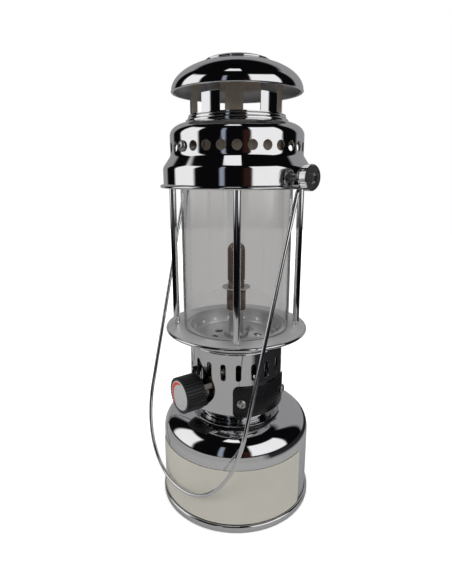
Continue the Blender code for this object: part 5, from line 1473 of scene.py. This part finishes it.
class LANTERN_OT_thumb_nuts(Operator):
    """Knurled thumb nuts"""
    bl_idname = "lantern.thumb_nuts"
    bl_label = "Thumb nuts"

    def execute(self, context):
        h = context.scene.lantern_handle
        top = h.nut_bottom + h.nut_thickness
        outline = ribbed(h.nut_radius, h.nut_depth, h.nut_ribs, steps=4, land=0.25)
        nut = raised("thumb_nut_fine_1", outline, h.nut_bottom, top)
        outer = h.nut_radius + SPARE
        trim = [(h.nut_radius - h.nut_edge, top + TRIM_LIFT), (outer, top + TRIM_LIFT)]
        trim += [(outer, top - h.nut_edge - SPARE)]
        cut(nut, [post(h.bore, h.nut_bottom - SPARE, top + SPARE)])
        cut(nut, [post(h.recess_radius, top - h.recess_depth, top + SPARE)])
        cut(nut, [turned("trim", trim, steps=64)])
        smooth(nut)
        second = copied(nut, "thumb_nut_fine_2")
        for index, (piece, body) in enumerate(((nut, "right_thumb_nut"), (second, "left_thumb_nut"))):
            place = h.place + math.pi * index
            set_down(piece, (0, 0, h.pivot), facing(place))
            dress(piece, body, "chrome_plate", f"thumb_nut_{index + 1}")
            outward = around(place, 1.0)
            coat_inside(
                piece, zinc_finish("finish_nut_face", context.scene.lantern_finish),
                lambda spot, normal: abs(normal.dot(outward)) > 0.9,
            )
        return {"FINISHED"}


class LANTERN_OT_flue_screws(Operator):
    """Screw heads in the pierced band"""
    bl_idname = "lantern.flue_screws"
    bl_label = "Flue screws"

    def execute(self, context):
        h = context.scene.lantern_hood
        spots = places(h.hole_start, h.hole_count // h.screw_every)
        for index, place in enumerate(spots, 1):
            screw = pan_head(f"flue_screw_fine_{index}", context.scene.lantern_housing)
            set_down(screw, around(place, h.upper_radius + GAP, h.hole_height), facing(place))
            dress(screw, "hood", "zinc_plate", f"flue_screw_{index}")
        return {"FINISHED"}


class LANTERN_OT_inner_pieces(Operator):
    """Finishes of the pieces that are shown as the frame holds them"""
    bl_idname = "lantern.inner_pieces"
    bl_label = "Inner pieces"

    def execute(self, context):
        finishes = context.scene.lantern_finish
        slots = {item["node"]: item["material_slot"] for item in frame["record"]["subparts"]}
        for name, node in frame["nodes"].items():
            node.data.materials.clear()
            if name == "burner_gauze":
                top = max(corner[2] for corner in node.bound_box)
                finish = gauze_finish("finish_gauze", finishes, top)
            elif name == "frame_ring":
                finish = zinc_finish("finish_ring", finishes)
            else:
                finish = finish_for(slots[name])
            node.data.materials.append(finish)
        return {"FINISHED"}


# Studio

# What the plating mirrors: azimuths, heights in degrees, width of the soft edge and colour
CARDS = (
    # Grey wall behind
    (116, 228, -50, 50, 6, (0.30, 0.30, 0.305)),
    # White panels on the left and on the right
    (-106, -66, -4, 46, 5, (1.0, 1.0, 1.0)),
    (22, 79, -4, 46, 4, (1.0, 1.0, 1.0)),
    # Bluish strip and brown patch beside the camera
    (-25, -18, -8, 40, 3, (0.28, 0.31, 0.38)),
    (10, 22, -10, 20, 5, (0.03, 0.012, 0.01)),
    # White panel overhead
    (-37, 13, 66, 78, 2, (1.0, 1.0, 1.0)),
)
# Azimuths of the lit and of the dark side of the mirrored floor, in degrees
LIT_SIDE = (-110, 40)
DARK_SIDE = (40, 150)
# Azimuth in degrees below which the rear is counted on past a half turn
REAR_SEAM = -100.0
# Name, place, size and power of the lamps
LAMPS = (
    ("lamp_left", (-0.9, -0.7, 0.9), 0.8, 7.0),
    ("lamp_right", (1.0, -0.5, 0.8), 0.7, 6.0),
    ("lamp_top", (0.0, -0.1, 1.4), 0.8, 6.0),
)
WHITE = (1.0, 1.0, 1.0, 1.0)


class LANTERN_OT_studio(Operator):
    """Floor, surroundings, lamps and camera"""
    bl_idname = "lantern.studio"
    bl_label = "Studio"

    def execute(self, context):
        s = context.scene.lantern_studio
        context.scene.view_settings.view_transform = "Standard"
        lay_floor(s)
        pitch_tent(s)
        context.scene.world = surroundings(s)
        hang_lamps(s)
        context.scene.camera = set_camera(s)
        return {"FINISHED"}


def lay_floor(s):
    """Round floor under the lantern."""
    bpy.ops.object.select_all(action="DESELECT")
    bpy.ops.mesh.primitive_circle_add(
        vertices=128, radius=s.floor_radius, fill_type="NGON", location=(0, 0, -s.floor_drop),
    )
    floor = bpy.context.active_object
    floor.name = "studio_floor"
    floor.data.materials.append(floor_material(s))


def pitch_tent(s):
    """Surroundings that only reflections see."""
    bpy.ops.object.select_all(action="DESELECT")
    bpy.ops.mesh.primitive_uv_sphere_add(
        segments=96, ring_count=48, radius=s.tent_radius, location=(0, 0, s.tent_height),
    )
    bpy.ops.object.transform_apply(location=True)
    dome = bpy.context.active_object
    dome.name = "studio_cards"
    dome.data.materials.append(cards_material(s))
    for ray in ("camera", "diffuse", "shadow", "volume_scatter"):
        setattr(dome, f"visible_{ray}", False)


def surroundings(s):
    """Even light, a grey backdrop for the plating and the glass, and white for the camera."""
    world = bpy.data.worlds.new("studio_world")
    tree = Tree(world, "ShaderNodeOutputWorld")
    level = tree.node("ShaderNodeBackground", Color=WHITE, Strength=s.world_level)
    grey = tree.node("ShaderNodeBackground", Color=(*s.backdrop, 1.0))
    white = tree.node("ShaderNodeBackground", Color=WHITE)
    tree.end(
        level, (tree.ray("Is Glossy Ray"), grey), (tree.ray("Is Transmission Ray"), grey),
        (tree.ray("Is Camera Ray"), white),
    )
    return world


def hang_lamps(s):
    """Soft lamps that don't show in the plating."""
    for name, location, size, power in LAMPS:
        bpy.ops.object.light_add(type="AREA", location=location)
        lamp = bpy.context.active_object
        lamp.name = name
        lamp.data.size = size
        lamp.data.energy = power
        aim = Vector((0, 0, s.aim_height)) - Vector(location)
        lamp.rotation_euler = aim.to_track_quat("-Z", "Y").to_euler()
        lamp.visible_glossy = False


def set_camera(s):
    """The camera that was fitted to the photograph."""
    bpy.ops.object.camera_add(location=(0, -s.camera_back, s.camera_height))
    camera = bpy.context.active_object
    camera.name = "studio_camera"
    level = math.cos(s.pitch)
    look = Vector((math.sin(s.yaw) * level, math.cos(s.yaw) * level, -math.sin(s.pitch)))
    right = Vector((math.cos(s.yaw), -math.sin(s.yaw), 0))
    up = right.cross(look)
    turned_right = right * math.cos(s.roll) + up * math.sin(s.roll)
    turned_up = up * math.cos(s.roll) - right * math.sin(s.roll)
    camera.rotation_euler = Matrix((turned_right, turned_up, -look)).transposed().to_euler()
    camera.data.sensor_fit = "AUTO"
    camera.data.sensor_width = s.sensor
    camera.data.lens = s.sensor * s.focal / max(s.image_width, s.image_height)
    camera.data.clip_start = 0.01
    return camera


def floor_material(s):
    """Pale floor: white to the camera with the object's shadow, grey in the plating and the glass."""
    shader = Shader("studio_floor")
    camera = shader.ray("Is Camera Ray")
    distance = (shader.x * shader.x + shader.y * shader.y).math("SQRT")
    degrees = shader.azimuth() * DEGREES
    soft = s.floor_mirror_soft
    near = shader.spread(
        distance, s.floor_near_edge * (1 + s.floor_near_blend), s.floor_near_edge * (1 - s.floor_near_blend),
    )
    tone = shader.mix(band(degrees, *LIT_SIDE, soft), s.floor_rear, s.floor_light)
    tone = shader.mix(band(degrees, *DARK_SIDE, soft), tone, s.floor_dark)
    tone = shader.mix(near, tone, s.floor_near)
    tone = shader.mix(camera, tone, s.floor)
    far = shader.spread(distance, s.floor_edge, s.floor_edge * 2)
    diffuse = shader.node("ShaderNodeBsdfDiffuse", Color=tone)
    glow = shader.node("ShaderNodeEmission", Strength=camera * (far + s.floor_lift))
    lit = shader.node("ShaderNodeAddShader")
    for part, socket in zip((diffuse, glow), lit.inputs):
        shader.links.new(part.outputs[0], socket)
    clear = shader.node("ShaderNodeBsdfTransparent")
    behind = shader.node("ShaderNodeEmission", Color=(*s.backdrop, 1.0))
    beyond = shader.ray("Is Glossy Ray") * (distance > s.floor_edge)
    shader.end(lit, (beyond, clear), (shader.ray("Is Transmission Ray"), behind))
    return shader.material


def band(value, low, high, soft):
    """One between two values, falling softly to zero outside."""
    rise = (value - (low - soft / 2)) / soft
    fall = ((high + soft / 2) - value) / soft
    return rise.clamped() * fall.clamped()


def cards_material(s):
    """Dark surroundings with white panels and a grey wall behind."""
    shader = Shader("studio_cards")
    azimuth = shader.azimuth() * DEGREES
    behind = azimuth + (azimuth < REAR_SEAM) * 360.0
    flat = (shader.x * shader.x + shader.y * shader.y).math("SQRT")
    rise = shader.math("ARCTAN2", shader.z - s.tent_height, flat) * DEGREES
    tone = s.dark_room
    for low, high, bottom, top, soft, level in CARDS:
        side = behind if high > 180 else azimuth
        share = band(side, low, high, soft) * band(rise, bottom, top, soft)
        tone = shader.mix(share, tone, level)
    glow = shader.node("ShaderNodeEmission", Color=tone)
    clear = shader.node("ShaderNodeBsdfTransparent")
    shader.end(glow, (shader.ray("Is Transmission Ray") * (shader.ray("Glossy Depth") < 0.5), clear))
    return shader.material


# Panel and run

class LANTERN_PT_panel(Panel):
    """Steps and sizes of the lantern"""
    bl_idname = "LANTERN_PT_panel"
    bl_label = "Gas lantern"
    bl_space_type = "VIEW_3D"
    bl_region_type = "UI"
    bl_category = "Lantern"

    def draw(self, context):
        for step in STEPS:
            self.layout.operator(step.bl_idname)
        for name, group in GROUPS.items():
            box = self.layout.box()
            box.label(text=group.__doc__)
            for key in group.__annotations__:
                box.prop(getattr(context.scene, name), key)


STEPS = (
    LANTERN_OT_tank, LANTERN_OT_label, LANTERN_OT_housing, LANTERN_OT_plate, LANTERN_OT_knob,
    LANTERN_OT_gallery, LANTERN_OT_globe, LANTERN_OT_rods, LANTERN_OT_hood, LANTERN_OT_chimney,
    LANTERN_OT_handle, LANTERN_OT_thumb_nuts, LANTERN_OT_flue_screws, LANTERN_OT_inner_pieces,
    LANTERN_OT_studio,
)


def register():
    for group in GROUPS.values():
        bpy.utils.register_class(group)
    for step in STEPS:
        bpy.utils.register_class(step)
    bpy.utils.register_class(LANTERN_PT_panel)
    for name, group in GROUPS.items():
        setattr(bpy.types.Scene, name, PointerProperty(type=group))


def unregister():
    for name in GROUPS:
        delattr(bpy.types.Scene, name)
    bpy.utils.unregister_class(LANTERN_PT_panel)
    for step in reversed(STEPS):
        bpy.utils.unregister_class(step)
    for group in reversed(list(GROUPS.values())):
        bpy.utils.unregister_class(group)


def main():
    register()
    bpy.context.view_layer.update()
    for step in STEPS:
        operator = getattr(bpy.ops.lantern, step.bl_idname.split(".")[1])
        operator()


if __name__ == "__main__":
    main()
